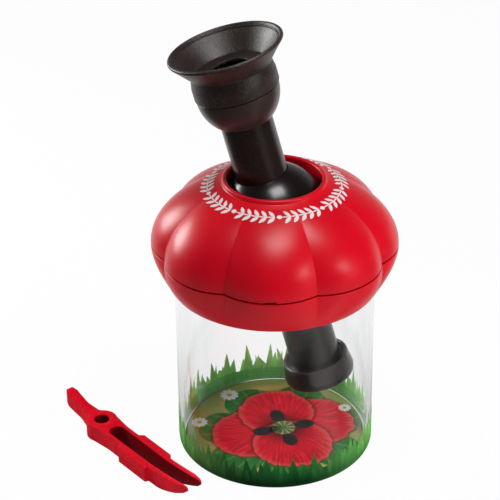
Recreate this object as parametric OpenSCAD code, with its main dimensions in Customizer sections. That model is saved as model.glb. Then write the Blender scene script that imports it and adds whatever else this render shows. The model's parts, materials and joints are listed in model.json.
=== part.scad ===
/* [Jar] */
// Outer diameter of the clear jar
jar_d = 90; // [84:1:94]
// Height of the jar to its mouth
jar_h = 98; // [92:1:104]
// Wall of the jar
jar_wall = 1.8; // [1.4:0.1:2.4]
// Floor of the jar
jar_floor = 1.6; // [1.2:0.1:2.4]
// Radius of the jar's outer bottom edge
jar_edge_r = 1.8; // [1:0.1:2.4]

/* [Printed pieces] */
// Height of the longest printed grass blade above the table
film_h = 24; // [18:1:32]
// Thickness of the printed film
film_t = 0.2; // [0.1:0.05:0.3]
// Number of blades round the film's upper edge
film_blades = 36; // [24:4:48]
// Thickness of the printed card on the floor
card_t = 0.4; // [0.3:0.1:0.8]
// Thickness of the clear disc over the card
window_t = 1; // [0.8:0.1:1.5]

/* [Lid] */
// Diameter of the lid over the crests of two opposite lobes
lid_d = 110.4; // [106:0.4:116]
// Number of lobes
lid_lobes = 8; // [6:1:10]
// Height of the parting line above the jar's mouth
part_up = 5.1; // [4:0.1:7]
// Rise of the dome from the parting line to its virtual top
dome_rise = 33; // [32:0.5:35]
// Drop of the lower cover under the parting line
skirt_drop = 18.4; // [17:0.2:20]
// Deepest groove between two lobes
groove_depth = 3.8; // [2:0.1:4.5]
// Wall of the two covers
cover_wall = 2; // [1.6:0.1:2.2]
// Height of the thin rim round the hole over the dome
rim_rise = 2.7; // [2:0.1:3.2]
// Radial fit of the lid on the jar
lid_fit = 0.1; // [0.05:0.05:0.2]

/* [Ball and seat] */
// Diameter of the hollow ball
ball_d = 50; // [48:0.5:51]
// Height of the ball's centre above the jar's mouth
ball_up = 17.4; // [17:0.1:18]
// Wall of the ball
ball_wall = 1.8; // [1.4:0.1:2.2]
// Thickness of the soft ring that the ball turns on
ring_d = 1.6; // [1.2:0.1:2]
// Number of air holes in the seat
vents = 12; // [8:1:16]

/* [Viewer] */
// Diameter of the viewer's tube
tube_d = 23; // [22:0.2:24]
// Wall of the tube
tube_wall = 1.4; // [1.2:0.1:1.8]
// Length of the tube over the ball's centre
tube_up = 54; // [50:1:60]
// Length of the tube under the ball's centre
tube_down = 79.6; // [74:0.2:80]
// Lean of the viewer from upright
lean = 14.65; // [0:0.05:16]
// Direction of the lean round the jar, from the right-hand side
lean_turn = 172.5; // [0:0.5:360]
// Diameter of the eyepiece bowl
bowl_d = 36.6; // [35:0.2:38]
// Diameter of the eyecup's rim
cup_d = 50.2; // [46:0.2:54]
// Diameter of the sight hole
sight_d = 16; // [12:0.5:18]
// Largest diameter of the objective cap
cap_d = 32.8; // [31:0.2:34]
// Height of the objective cap
cap_h = 11.6; // [10:0.2:13]

/* [Tweezers] */
// Length from the hole's centre to the tips
tw_reach = 71.2; // [66:0.2:76]
// Length of the tail from the hole's centre
tw_tail = 26.5; // [24:0.5:30]
// Thickness of the moulding
tw_t = 8; // [6:0.5:9]
// Diameter of the hole
tw_hole_d = 7.3; // [5:0.1:8]
// Clear width between the arms at their roots
tw_gap = 7.8; // [7:0.1:9]
// Width of one arm
arm_w = 2.5; // [2.2:0.1:3]
// How far a grip pad stands out of its arm
pad_out = 1.2; // [0.6:0.1:1.8]
// Place of the hole, from the jar's axis
tw_x = -81.5; // [-95:0.5:-78]
// Place of the hole, to the back of the jar's axis
tw_y = 0.5; // [-10:0.5:10]
// Direction in which the tips point
tw_turn = -51.2; // [-60:0.1:-40]

/* [Hidden] */
$fn = 96;

// Fits that several pieces share
cut = 1;
running_fit = 0.05;
push_fit = 0.05;
loose_fit = 0.3;
arc_steps = 6;

// Jar
jar_r = jar_d / 2;
jar_in_r = jar_r - jar_wall;
jar_in_edge = 1;
mouth_edge = 0.5;

// Printed film, card and clear disc
film_bottom = jar_edge_r;
film_solid_share = 0.46;
film_dip_share = 0.14;
blade_tip_share = 0.06;
notch_mid_share = 0.5;
notch_left_share = 0.25;
notch_right_share = 0.33;
// Steps in degrees that make neighbouring notches differ in depth and in lean
dip_turn = 137;
bend_turn = 211;
card_edge = 1.6;
window_edge = 1.2;
card_z = jar_floor;
window_z = card_z + card_t;

// Lid covers
lid_r = lid_d / 2;
part_z = jar_h + part_up;
part_gap = 0.6;
lobe_pitch = 360 / lid_lobes;
lobe_turn = -2.85;
lobe_steps = 8;
dome_steps = 9;
fill_steps = 18;
skirt_steps = 7;
skirt_power = 1.3;
skirt_edge_t = 1.6;
skirt_r = jar_r + lid_fit + skirt_edge_t;
skirt_top_z = part_z - part_gap / 2;
skirt_bottom_z = part_z - skirt_drop;
// Share of the dome's rise at which the grooves have run out
groove_end_share = 0.83;
lip_h = 2.4;
lip_in = 1.2;

// Collar and shelf of the lower cover
collar_in_r = jar_r + lid_fit;
collar_t = 1.5;
collar_lift_share = 0.3;
collar_bottom_z = skirt_bottom_z + collar_lift_share * cover_wall;
shelf_t = 2;
shelf_z = jar_h;
shelf_top_z = shelf_z + shelf_t;
shelf_share = (skirt_top_z - shelf_z) / (skirt_top_z - skirt_bottom_z);
shelf_out_r = skirt_row_r(shelf_share) - skirt_groove(shelf_share) - cover_wall / 2;

// Ball, its seat and the hole over it
ball_r = ball_d / 2;
ball_z = jar_h + ball_up;
seat_gap = 0.4;
seat_wall = 2;
seat_low_angle = 42;
seat_high_angle = 20;
seat_plate_t = 2;
seat_plate_gap = 3;
seat_plate_r = jar_in_r - seat_plate_gap;
seat_hole_r = ball_r * cos(seat_low_angle) + seat_wall / 2;
ring_angle = 34;
ring_r = ring_d / 2;
ring_reach = ball_r + running_fit + ring_r;
hole_angle = 33.3;
hole_r = ball_r * cos(hole_angle);
hole_rim_w = 1.9;
hole_foot = 2.6;
rim_gap = 0.35;
// Outer side of the rim: shares of its foot outwards and of its rise
rim_out_shares = [[0.4, 0.25], [0.15, 0.8], [0, 1]];
// Inner side of the rim: shares of its width outwards and of its rise
rim_in_shares = [[0.5, 1], [0.2, 0.5]];
sleeve_wall = 1.5;
half_lap = 1.2;

// Air holes and screws
vent_d = 3;
vent_ring_gap = 8;
vent_ring_r = seat_hole_r + vent_ring_gap;
shelf_in_r = vent_ring_r + vent_d;
screw_edge = 4;
screw_ring_r = seat_plate_r - screw_edge;
screw_count = 4;
screw_turn = lobe_turn + lobe_pitch;
screw_d = 3;
screw_len = 12;
screw_fit = 0.15;
head_d = 5.4;
head_h = 1.8;
slot_w = 0.8;
slot_depth = 0.8;
boss_d = 7;
boss_bore_h = 14;

// Tube of the viewer and the stop in it
tube_r = tube_d / 2;
tube_in_r = tube_r - tube_wall;
bore_r = tube_r + running_fit;
stop_t = 1;
stop_hole_r = 7;
stop_s = -6;

// Objective lens, pinched between the tube's end and the cap's flange
obj_lens_r = tube_r - loose_fit;
obj_lens_edge = 2;
obj_lens_crown = 1.2;
cap_window_edge = 0.9;
cap_window_r = tube_in_r - cap_window_edge;
cap_flange_t = 1.3;
obj_lens_top_s = -tube_down - crown_at(obj_lens_r, obj_lens_crown, tube_in_r) - running_fit;
obj_lens_low_s = obj_lens_top_s - obj_lens_edge;
cap_flange_s = obj_lens_low_s - crown_at(obj_lens_r, obj_lens_crown, cap_window_r) - running_fit;
cap_bottom_s = cap_flange_s - cap_flange_t;

// Objective cap
cap_r = cap_d / 2;
cap_top_s = cap_bottom_s + cap_h;
cap_edge = 2.2;
cap_shoulder = 1.5;
cap_slope = 10;
cap_lip_r = cap_r - cap_shoulder;
cap_lip_w = 1.5;
cap_groove_depth = 4.4;

// Eyepiece bowl
bowl_r = bowl_d / 2;
bowl_up = 7;
bowl_s = tube_up + bowl_up;
bowl_foot_w = 0.7;
cup_skirt_t = 1.7;
bowl_neck_r = bowl_r - cup_skirt_t;
bowl_neck_h = 12.4;
bowl_top_s = bowl_s + bowl_neck_h;
bowl_floor_t = 2;
bowl_shelf_r = tube_in_r + loose_fit;
bowl_wall = 1.8;
lens_ledge = 0.8;
lens_pocket_r = bowl_neck_r - bowl_wall;
bowl_well_r = lens_pocket_r - lens_ledge;
lens_pocket_h = 4.5;
lens_seat_s = bowl_top_s - lens_pocket_h;

// Eye lens and the ring over it
eye_lens_r = lens_pocket_r - push_fit;
eye_lens_edge = 1.2;
eye_lens_crown = 1.6;
eye_lens_low_s = lens_seat_s + crown_at(eye_lens_r, eye_lens_crown, bowl_well_r) + running_fit;
eye_lens_top_s = eye_lens_low_s + eye_lens_edge;
sight_r = sight_d / 2;
sight_t = 1;
sight_skirt_w = 1.4;
sight_in_r = eye_lens_r - sight_skirt_w;
sight_foot_s = eye_lens_top_s + crown_at(eye_lens_r, eye_lens_crown, sight_in_r) + running_fit;

// Eyecup
cup_r = cup_d / 2;
cup_h = 22;
cup_edge_s = bowl_s + running_fit;
cup_rim_s = cup_edge_s + cup_h;
cup_rim_t = 1.1;
cup_waist_in = 0.4;
cup_waist_r = bowl_r - cup_waist_in;
cup_waist_h = 11;
cup_waist_s = cup_edge_s + cup_waist_h;
cup_swell = 0.5;
cup_floor_t = 0.7;
cup_floor_r = lens_pocket_r + cup_waist_in;
cup_lip_share = 1.6;

// Tweezers: eye and tail
boss_r = 6.9;
tail_w = 4.4;
tail_end_w = 5.4;
tail_tip_w = 3.6;
tail_lift = 3.8;
tail_root_share = 0.58;
tail_end_l = 2.6;
bend_share = 0.25;
flat_start = 6;
bend_start = 14;

// Tweezers: slot, arms and tips
slot_start = 9.2;
slot_r = tw_gap / 2;
root_gap = 1.6;
root_u = slot_start + slot_r + root_gap;
arm_mid = slot_r + arm_w / 2;
knuckle_r = arm_w / 2;
pad_start = 23;
pad_end = 44.6;
pad_step = 1.2;
arm_thin_share = 0.9;
tip_lift = 2.7;
tip_t = 3.2;
tip_taper = 6.6;
tip_gap = 6.8;
tip_w = 0.8;
tip_rise_share = 0.33;
tip_under_share = 0.2;
flat_end = 50;

// Points of an arc, from one angle to another
function arc_points(centre, radius, from_a, to_a, steps = arc_steps) =
    [for (i = [0:steps])
        let (a = from_a + (to_a - from_a) * i / steps)
        centre + radius * [cos(a), sin(a)]];

// Depth of the groove at an angle: none on a crest, all of it where two lobes meet
function lobe_share(a) =
    let (half = lobe_pitch / 2, off = a - lobe_pitch * floor((a + half) / lobe_pitch))
    pow(off / half, 2);

// One closed ring of points at a height, drawn in by its groove
function lobed_ring(row) =
    let (n = lid_lobes * lobe_steps)
    [for (i = [0:n - 1])
        let (a = i * 360 / n, r = row[0] - row[2] * lobe_share(a))
        [r * cos(a + lobe_turn), r * sin(a + lobe_turn), row[1]]];

// Closed skin through rows of [radius, height, groove], the last row joined to the first
module lobed_skin(rows) {
    n = lid_lobes * lobe_steps;
    m = len(rows);
    points = [for (row = rows) each lobed_ring(row)];
    faces = [for (j = [0:m - 1]) for (i = [0:n - 1])
        let (k = (i + 1) % n, up = (j + 1) % m)
        each [[j * n + i, up * n + i, up * n + k], [j * n + i, up * n + k, j * n + k]]];
    polyhedron(points, faces, convexity = 6);
}

// Radius of the dome's crest, its height and its groove, at an angle up from the parting line
function dome_r(t, inset = 0) = (lid_r - inset) * cos(t);
function dome_z(t, inset = 0) = part_z + (dome_rise - inset) * sin(t);
function dome_groove(t) =
    let (share = min(1, sin(t) / groove_end_share))
    groove_depth * sqrt(1 - pow(share, 2));

// Radius and groove of the lower cover, at a share of the way down from the parting line
function skirt_row_r(share) = skirt_r + (lid_r - skirt_r) * (1 - pow(share, skirt_power));
function skirt_groove(share) = groove_depth * (1 - share);

// Radius of a lens's face, and how far it stands over the lens's edge at a radius
function face_r(radius, crown) = (pow(radius, 2) + pow(crown, 2)) / (2 * crown);
function crown_at(radius, crown, r) =
    sqrt(pow(face_r(radius, crown), 2) - pow(r, 2)) - face_r(radius, crown) + crown;

module jar_shell() {
    color([0.9, 0.95, 0.97, 0.35])
    rotate_extrude()
    polygon(concat(
        [[0, 0]],
        arc_points([jar_r - jar_edge_r, jar_edge_r], jar_edge_r, -90, 0),
        arc_points([jar_r - mouth_edge, jar_h - mouth_edge], mouth_edge, 0, 90),
        arc_points([jar_in_r + mouth_edge, jar_h - mouth_edge], mouth_edge, 90, 180),
        arc_points([jar_in_r - jar_in_edge, jar_floor + jar_in_edge], jar_in_edge, 0, -90),
        [[0, jar_floor]]
    ));
}

// Printed film round the foot of the jar, its upper edge notched to blades of grass
module grass_film() {
    film_top = film_h - film_bottom;
    notch_w = 2 * jar_r * sin(180 / film_blades) * (1 - blade_tip_share);
    color("forestgreen")
    translate([0, 0, film_bottom])
    difference() {
        cylinder(r = jar_r + film_t, h = film_top);
        translate([0, 0, -cut])
        cylinder(r = jar_r, h = film_top + 2 * cut);
        for (i = [0:film_blades - 1])
            let (foot = film_top * (film_solid_share + film_dip_share * sin(i * dip_turn)),
                 mid = foot + (film_top - foot) * notch_mid_share,
                 bend = notch_w * notch_left_share * sin(i * bend_turn))
            rotate([0, 0, i * 360 / film_blades])
            translate([jar_r - cut, 0, 0])
            rotate([90, 0, 90])
            linear_extrude(2 * cut)
            polygon([
                [bend, foot],
                [notch_w * notch_right_share, mid],
                [notch_w / 2, film_top + cut],
                [-notch_w / 2, film_top + cut],
                [-notch_w * notch_left_share, mid]
            ]);
    }
}

module floor_card() {
    color("olivedrab")
    translate([0, 0, card_z])
    cylinder(r = jar_in_r - card_edge, h = card_t);
}

module floor_window() {
    color([0.92, 0.96, 0.98, 0.4])
    translate([0, 0, window_z])
    cylinder(r = jar_in_r - window_edge, h = window_t);
}

// Lobed lower cover with the collar that grips the jar and the shelf that lies on its mouth
module lid_lower() {
    drop = skirt_top_z - skirt_bottom_z;
    lip_z = part_z + lip_h;
    outer = [for (i = [skirt_steps:-1:0])
        let (s = i / skirt_steps)
        [skirt_row_r(s), skirt_top_z - drop * s, skirt_groove(s)]];
    lip = [
        [lid_r - lip_in, skirt_top_z, groove_depth],
        [lid_r - lip_in, lip_z, groove_depth],
        [lid_r - cover_wall, lip_z, groove_depth]
    ];
    inner = [for (i = [0:skirt_steps])
        let (s = i / skirt_steps, wall = i == skirt_steps ? collar_t / 2 : cover_wall)
        [skirt_row_r(s) - wall, skirt_top_z - drop * s, skirt_groove(s)]];
    color("crimson")
    difference() {
        union() {
            lobed_skin(concat(outer, lip, inner));
            rotate_extrude()
            polygon([
                [collar_in_r, collar_bottom_z],
                [collar_in_r + collar_t, collar_bottom_z],
                [collar_in_r + collar_t, shelf_z],
                [shelf_out_r, shelf_z],
                [shelf_out_r, shelf_top_z],
                [shelf_in_r, shelf_top_z],
                [shelf_in_r, shelf_z],
                [collar_in_r, shelf_z]
            ]);
        }
        screw_places()
        translate([0, 0, shelf_z - cut])
        cylinder(d = screw_d + 2 * screw_fit, h = shelf_t + 2 * cut);
    }
}

// Lobed dome with the hole that the ball shows through, and the screw bosses inside
module lid_upper() {
    crest_r = hole_r + hole_rim_w;
    foot_r = crest_r + hole_foot;
    rim_t = acos(foot_r / lid_r);
    in_t = acos(foot_r / (lid_r - cover_wall));
    foot_z = dome_z(rim_t);
    ball_gap_r = ball_r + rim_gap;
    face_low_z = ball_z + sqrt(pow(ball_gap_r, 2) - pow(crest_r, 2));
    face_high_z = ball_z + sqrt(pow(ball_gap_r, 2) - pow(hole_r, 2));
    bottom = part_z + part_gap / 2;
    recess_z = part_z + lip_h + loose_fit;
    recess_r = lid_r - lip_in + loose_fit;
    outer = [for (i = [0:dome_steps])
        let (t = rim_t * i / dome_steps)
        [dome_r(t), max(bottom, dome_z(t)), dome_groove(t)]];
    rim_out = [for (p = rim_out_shares)
        [crest_r + hole_foot * p[0], foot_z + rim_rise * p[1], 0]];
    rim_in = [for (p = rim_in_shares)
        [hole_r + hole_rim_w * p[0], foot_z + rim_rise * p[1], 0]];
    ball_face = [
        [hole_r, face_high_z, 0],
        [crest_r, face_low_z, 0],
        [crest_r + hole_foot / 2, face_low_z, 0]
    ];
    inner = [for (i = [dome_steps:-1:1])
        let (t = in_t * i / dome_steps)
        [dome_r(t, cover_wall), max(recess_z, dome_z(t, cover_wall)), dome_groove(t)]];
    recess = [
        [recess_r, recess_z, groove_depth],
        [recess_r, bottom, groove_depth]
    ];
    color("red")
    difference() {
        union() {
            lobed_skin(concat(outer, rim_out, rim_in, ball_face, inner, recess));
            intersection() {
                screw_places()
                translate([0, 0, shelf_top_z])
                cylinder(d = boss_d, h = dome_rise);
                rotate_extrude()
                polygon(concat(
                    [[0, 0]],
                    [for (i = [0:fill_steps])
                        let (t = 90 * i / fill_steps)
                        [dome_r(t, cover_wall / 2), dome_z(t, cover_wall / 2)]]
                ));
            }
        }
        screw_places()
        translate([0, 0, shelf_top_z - cut])
        cylinder(d = screw_d + 2 * push_fit, h = boss_bore_h + cut);
    }
}

// Places of the screws, on the crests of every second lobe
module screw_places() {
    for (i = [0:screw_count - 1])
        rotate([0, 0, screw_turn + i * 360 / screw_count])
        translate([screw_ring_r, 0, 0])
        children();
}

// Dished seat under the ball, with a groove for its soft ring and air holes in its plate
module ball_seat() {
    near = ball_r + seat_gap;
    far = near + seat_wall;
    plate_z = shelf_z - seat_plate_t;
    dish = concat(
        arc_points([0, ball_z], near, -seat_low_angle, -seat_high_angle),
        arc_points([0, ball_z], far, -seat_high_angle, -seat_low_angle)
    );
    color("black")
    difference() {
        union() {
            rotate_extrude()
            polygon(dish);
            translate([0, 0, plate_z])
            difference() {
                cylinder(r = seat_plate_r, h = seat_plate_t);
                translate([0, 0, -cut])
                cylinder(r = seat_hole_r, h = seat_plate_t + 2 * cut);
            }
        }
        rotate_extrude()
        translate([ring_reach * cos(ring_angle), ball_z - ring_reach * sin(ring_angle)])
        circle(r = ring_r + running_fit);
        screw_places()
        translate([0, 0, plate_z - cut])
        cylinder(d = screw_d + 2 * screw_fit, h = seat_plate_t + 2 * cut);
        for (i = [0:vents - 1])
            rotate([0, 0, screw_turn + (i + 0.5) * 360 / vents])
            translate([vent_ring_r, 0, plate_z - cut])
            cylinder(d = vent_d, h = seat_plate_t + 2 * cut);
    }
}

// Four slotted screws that draw the seat, the lower cover and the dome together
module lid_screws() {
    head_z = shelf_z - seat_plate_t - head_h;
    color("silver")
    screw_places()
    translate([0, 0, head_z])
    difference() {
        union() {
            cylinder(d = head_d, h = head_h);
            cylinder(d = screw_d, h = head_h + seat_plate_t + screw_len);
        }
        translate([-head_d, -slot_w / 2, -cut])
        cube([2 * head_d, slot_w, cut + slot_depth]);
    }
}

// Soft ring that the ball turns on
module friction_ring() {
    color("dimgray")
    rotate_extrude()
    translate([ring_reach * cos(ring_angle), ball_z - ring_reach * sin(ring_angle)])
    circle(r = ring_r);
}

// Frame of the viewer: its origin is the ball's centre, its height the tube's axis
module on_viewer_axis() {
    translate([0, 0, ball_z])
    rotate([0, 0, lean_turn])
    rotate([0, lean, 0])
    children();
}

// Half of the hollow ball with half of its sleeve; the halves lap at the middle
module ball_half(tongue) {
    in_r = ball_r - ball_wall;
    out_r = bore_r + sleeve_wall;
    lap_r = ball_r - ball_wall / 2;
    mouth_a = acos(bore_r / ball_r);
    sleeve_a = acos(out_r / in_r);
    groove_s = half_lap + running_fit;
    rotate_extrude()
    polygon(concat(
        arc_points([0, 0], ball_r, 0, mouth_a, 2 * arc_steps),
        [[bore_r, 0], [out_r, 0]],
        arc_points([0, 0], in_r, sleeve_a, tongue ? 0 : asin(groove_s / in_r), 2 * arc_steps),
        tongue
            ? [[in_r, -half_lap], [lap_r - running_fit, -half_lap], [lap_r - running_fit, 0]]
            : [[lap_r, groove_s], [lap_r, 0]]
    ));
}

module ball_upper() {
    color([0.08, 0.08, 0.09])
    on_viewer_axis()
    ball_half(true);
}

module ball_lower() {
    color([0.12, 0.12, 0.13])
    on_viewer_axis()
    mirror([0, 0, 1])
    ball_half(false);
}

module barrel_tube() {
    color([0.1, 0.1, 0.1])
    on_viewer_axis()
    translate([0, 0, -tube_down])
    difference() {
        cylinder(r = tube_r, h = tube_down + tube_up);
        translate([0, 0, -cut])
        cylinder(r = tube_in_r, h = tube_down + tube_up + 2 * cut);
    }
}

// Thin ring inside the tube that keeps stray light out
module light_stop() {
    color("black")
    on_viewer_axis()
    translate([0, 0, stop_s])
    difference() {
        cylinder(r = tube_in_r, h = stop_t);
        translate([0, 0, -cut])
        cylinder(r = stop_hole_r, h = stop_t + 2 * cut);
    }
}

// Cap over the lower end of the tube, with a deep groove round the tube inside its lip
module objective_cap() {
    color([0.2, 0.19, 0.19])
    on_viewer_axis()
    rotate_extrude()
    polygon(concat(
        [[cap_window_r, cap_bottom_s]],
        arc_points([cap_r - cap_edge, cap_bottom_s + cap_edge], cap_edge, -90, cap_slope),
        arc_points([cap_lip_r - cap_lip_w / 2, cap_top_s - cap_lip_w / 2],
            cap_lip_w / 2, cap_slope, 180),
        [
            [cap_lip_r - cap_lip_w, cap_top_s - cap_groove_depth],
            [bore_r, cap_top_s - cap_groove_depth],
            [bore_r, cap_flange_s],
            [cap_window_r, cap_flange_s]
        ]
    ));
}

// Lens standing on its lower edge: a straight rim with a crown on each side
module lens(radius, edge, crown) {
    big = face_r(radius, crown);
    half = asin(radius / big);
    rotate_extrude()
    polygon(concat(
        arc_points([0, edge + crown - big], big, 90, 90 - half),
        arc_points([0, big - crown], big, half - 90, -90)
    ));
}

module objective_lens() {
    color([0.8, 0.9, 0.95, 0.6])
    on_viewer_axis()
    translate([0, 0, obj_lens_low_s])
    lens(obj_lens_r, obj_lens_edge, obj_lens_crown);
}

// Ball-shaped eyepiece body: tube socket below, lens pocket above
module eyepiece_bowl() {
    foot_a = -acos((bore_r + bowl_foot_w) / bowl_r);
    color([0.1, 0.09, 0.09])
    on_viewer_axis()
    rotate_extrude()
    polygon(concat(
        [[bore_r, bowl_s + bowl_r * sin(foot_a)]],
        arc_points([0, bowl_s], bowl_r, foot_a, 0, 2 * arc_steps),
        [
            [bowl_neck_r, bowl_s],
            [bowl_neck_r, bowl_top_s],
            [lens_pocket_r, bowl_top_s],
            [lens_pocket_r, lens_seat_s],
            [bowl_well_r, lens_seat_s],
            [bowl_well_r, tube_up + bowl_floor_t],
            [bowl_shelf_r, tube_up + bowl_floor_t],
            [bowl_shelf_r, tube_up],
            [bore_r, tube_up]
        ]
    ));
}

module eye_lens() {
    color([0.8, 0.9, 0.95, 0.6])
    on_viewer_axis()
    translate([0, 0, eye_lens_low_s])
    lens(eye_lens_r, eye_lens_edge, eye_lens_crown);
}

// Ring that holds the eye lens down and leaves the sight hole
module sight_ring() {
    color([0.15, 0.14, 0.14])
    on_viewer_axis()
    rotate_extrude()
    polygon([
        [eye_lens_r, sight_foot_s],
        [eye_lens_r, bowl_top_s + sight_t / 2],
        [sight_r, bowl_top_s + sight_t / 2],
        [sight_r, bowl_top_s - sight_t / 2],
        [sight_in_r, bowl_top_s - sight_t / 2],
        [sight_in_r, sight_foot_s]
    ]);
}

// Soft eyecup: a skirt over the bowl's neck, a waist and a wide thin flare
module eyecup() {
    skirt_in = bowl_neck_r + push_fit;
    rim_r = cup_rim_t / 2;
    color([0.16, 0.14, 0.13])
    on_viewer_axis()
    rotate_extrude()
    polygon([
        [skirt_in, cup_edge_s],
        [bowl_r, cup_edge_s],
        [bowl_r + cup_swell, cup_edge_s + rim_r],
        [bowl_r + cup_swell, (cup_edge_s + cup_waist_s) / 2],
        [cup_waist_r + cup_swell / 2, cup_waist_s - cup_rim_t],
        [cup_waist_r, cup_waist_s],
        [cup_waist_r + cup_rim_t, cup_waist_s + cup_skirt_t],
        [cup_r - cup_rim_t, cup_rim_s - cup_rim_t],
        [cup_r - rim_r / 2, cup_rim_s - cup_rim_t],
        [cup_r, cup_rim_s - rim_r],
        [cup_r - rim_r, cup_rim_s],
        [cup_r - cup_rim_t * cup_lip_share, cup_rim_s - rim_r / 2],
        [cup_floor_r + cup_swell, bowl_top_s + cup_floor_t],
        [cup_floor_r, bowl_top_s + push_fit],
        [skirt_in, bowl_top_s + push_fit]
    ]);
}

// Frame of the tweezers: the hole's centre, with the tips along the first axis
module on_tweezers() {
    translate([tw_x, tw_y, 0])
    rotate([0, 0, tw_turn])
    children();
}

// Side outline of the tweezers: flat in the middle, tail and tips lifted off the table
module tweezers_side() {
    rotate([90, 0, 0])
    linear_extrude(4 * boss_r, center = true)
    polygon([
        [-tw_tail, tail_lift],
        [-bend_start, tail_lift * bend_share],
        [-flat_start, 0],
        [flat_end, 0],
        [flat_end + tip_taper, (tw_t + tip_lift - tip_t) * tip_under_share],
        [tw_reach, tw_t + tip_lift - tip_t],
        [tw_reach, tw_t + tip_lift],
        [flat_end + tip_taper, tw_t + tip_lift * tip_rise_share],
        [flat_end - tip_taper, tw_t],
        [-flat_start, tw_t],
        [-bend_start, tw_t + tail_lift * bend_share],
        [-tw_tail, tw_t + tail_lift]
    ]);
}

// Tail, eye and the two roots that carry the arms
module tweezers_body() {
    side_r = slot_r + arm_w;
    tall = 2 * tw_t;
    tail_neck_w = boss_r * tail_root_share;
    color("red")
    on_tweezers()
    intersection() {
        tweezers_side();
        difference() {
            union() {
                cylinder(r = boss_r, h = tall);
                linear_extrude(tall)
                polygon([
                    [0, -boss_r], [slot_start, -side_r], [root_u, -side_r],
                    [root_u, side_r], [slot_start, side_r], [0, boss_r]
                ]);
                linear_extrude(tall)
                polygon([
                    [-tw_tail, -tail_tip_w / 2],
                    [-tw_tail + tail_end_l, -tail_end_w / 2],
                    [-bend_start, -tail_w / 2],
                    [-flat_start, -tail_neck_w],
                    [-flat_start, tail_neck_w],
                    [-bend_start, tail_w / 2],
                    [-tw_tail + tail_end_l, tail_end_w / 2],
                    [-tw_tail, tail_tip_w / 2]
                ]);
            }
            translate([0, 0, -cut])
            cylinder(d = tw_hole_d, h = tall + 2 * cut);
            translate([slot_start + slot_r, 0, -cut])
            cylinder(r = slot_r, h = tall + 2 * cut);
            translate([slot_start + slot_r, -slot_r, -cut])
            cube([tw_reach, 2 * slot_r, tall + 2 * cut]);
            for (side = [-1, 1])
                translate([root_u, side * arm_mid, -cut])
                cylinder(r = knuckle_r + running_fit, h = tall + 2 * cut);
        }
    }
}

// One arm: a round root, a stepped grip pad outside and a tapered tip
module arm(side) {
    tall = 2 * tw_t;
    out = slot_r + arm_w;
    tip_in = tip_gap / 2;
    outline = [
        [root_u, slot_r],
        [tw_reach - tip_taper, tip_in],
        [tw_reach, tip_in],
        [tw_reach, tip_in + tip_w],
        [tw_reach - tip_taper, tip_in + arm_w * arm_thin_share],
        [pad_end, out - pad_step / 2],
        [pad_end - pad_step / 2, out + pad_out],
        [pad_start + pad_step / 2, out + pad_out],
        [pad_start - pad_step, out],
        [root_u, out]
    ];
    on_tweezers()
    intersection() {
        tweezers_side();
        union() {
            translate([root_u, side * arm_mid, 0])
            cylinder(r = knuckle_r, h = tall);
            linear_extrude(tall)
            polygon([for (p = outline) [p[0], side * p[1]]]);
        }
    }
}

module arm_left() {
    color("red")
    arm(-1);
}

module arm_right() {
    color("red")
    arm(1);
}

jar_shell();
grass_film();
floor_card();
floor_window();
lid_lower();
lid_upper();
ball_seat();
lid_screws();
friction_ring();
ball_upper();
ball_lower();
barrel_tube();
light_stop();
objective_cap();
objective_lens();
eyepiece_bowl();
eye_lens();
sight_ring();
eyecup();
tweezers_body();
arm_left();
arm_right();
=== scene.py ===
import json
import math
import random

import bpy
from bpy.props import FloatProperty, FloatVectorProperty, IntProperty, PointerProperty
from mathutils import Matrix, Vector


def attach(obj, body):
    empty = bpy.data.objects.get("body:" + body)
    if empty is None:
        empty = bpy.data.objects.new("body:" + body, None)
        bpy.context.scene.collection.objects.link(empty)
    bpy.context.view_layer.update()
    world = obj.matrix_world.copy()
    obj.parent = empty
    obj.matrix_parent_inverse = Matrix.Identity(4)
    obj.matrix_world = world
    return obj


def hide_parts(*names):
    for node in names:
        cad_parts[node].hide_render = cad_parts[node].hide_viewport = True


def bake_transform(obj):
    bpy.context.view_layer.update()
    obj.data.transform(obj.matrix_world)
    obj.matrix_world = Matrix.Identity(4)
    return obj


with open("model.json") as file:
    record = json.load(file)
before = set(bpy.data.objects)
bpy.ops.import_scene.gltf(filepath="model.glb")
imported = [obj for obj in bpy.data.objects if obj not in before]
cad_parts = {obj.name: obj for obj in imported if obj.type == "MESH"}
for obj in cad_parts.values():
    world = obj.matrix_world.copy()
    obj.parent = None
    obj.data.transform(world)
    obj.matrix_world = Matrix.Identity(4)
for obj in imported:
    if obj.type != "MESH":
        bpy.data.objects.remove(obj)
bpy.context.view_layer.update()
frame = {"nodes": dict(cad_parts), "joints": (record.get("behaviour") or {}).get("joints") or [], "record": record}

bl_info = {
    "name": "Bug catcher jar",
    "version": (1, 0, 0),
    "blender": (4, 5, 0),
    "location": "3D View > Sidebar > Bug jar",
    "description": "Models a bug catcher jar, its viewer and its tweezers around their packed frame",
    "category": "Object",
}

MM = 0.001
UP = Vector((0, 0, 1))
ACROSS = Vector((1, 0, 0))

# Columns of faces round turned pieces, and the angle under which their faces look smooth
TURN_STEPS = 128
VIEWER_STEPS = 160
SMOOTH = math.radians(28)
LID_SMOOTH = math.radians(16)

# Distances within which points are merged, and within which a point counts as on a surface
SAME_POINT = 1e-7
SAME_CUT = 1e-6
NEAR = 0.1 * MM

# Gap between two pieces that touch, gap between the ball and its hole, and radii of small edges
FIT = 0.05 * MM
BALL_GAP = 0.35 * MM
FINE_EDGE = 0.1 * MM
SMALL_EDGE = 0.2 * MM
EASED_EDGE = 0.3 * MM
SOFT_EDGE = 0.4 * MM


# Places read from the frame

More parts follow.
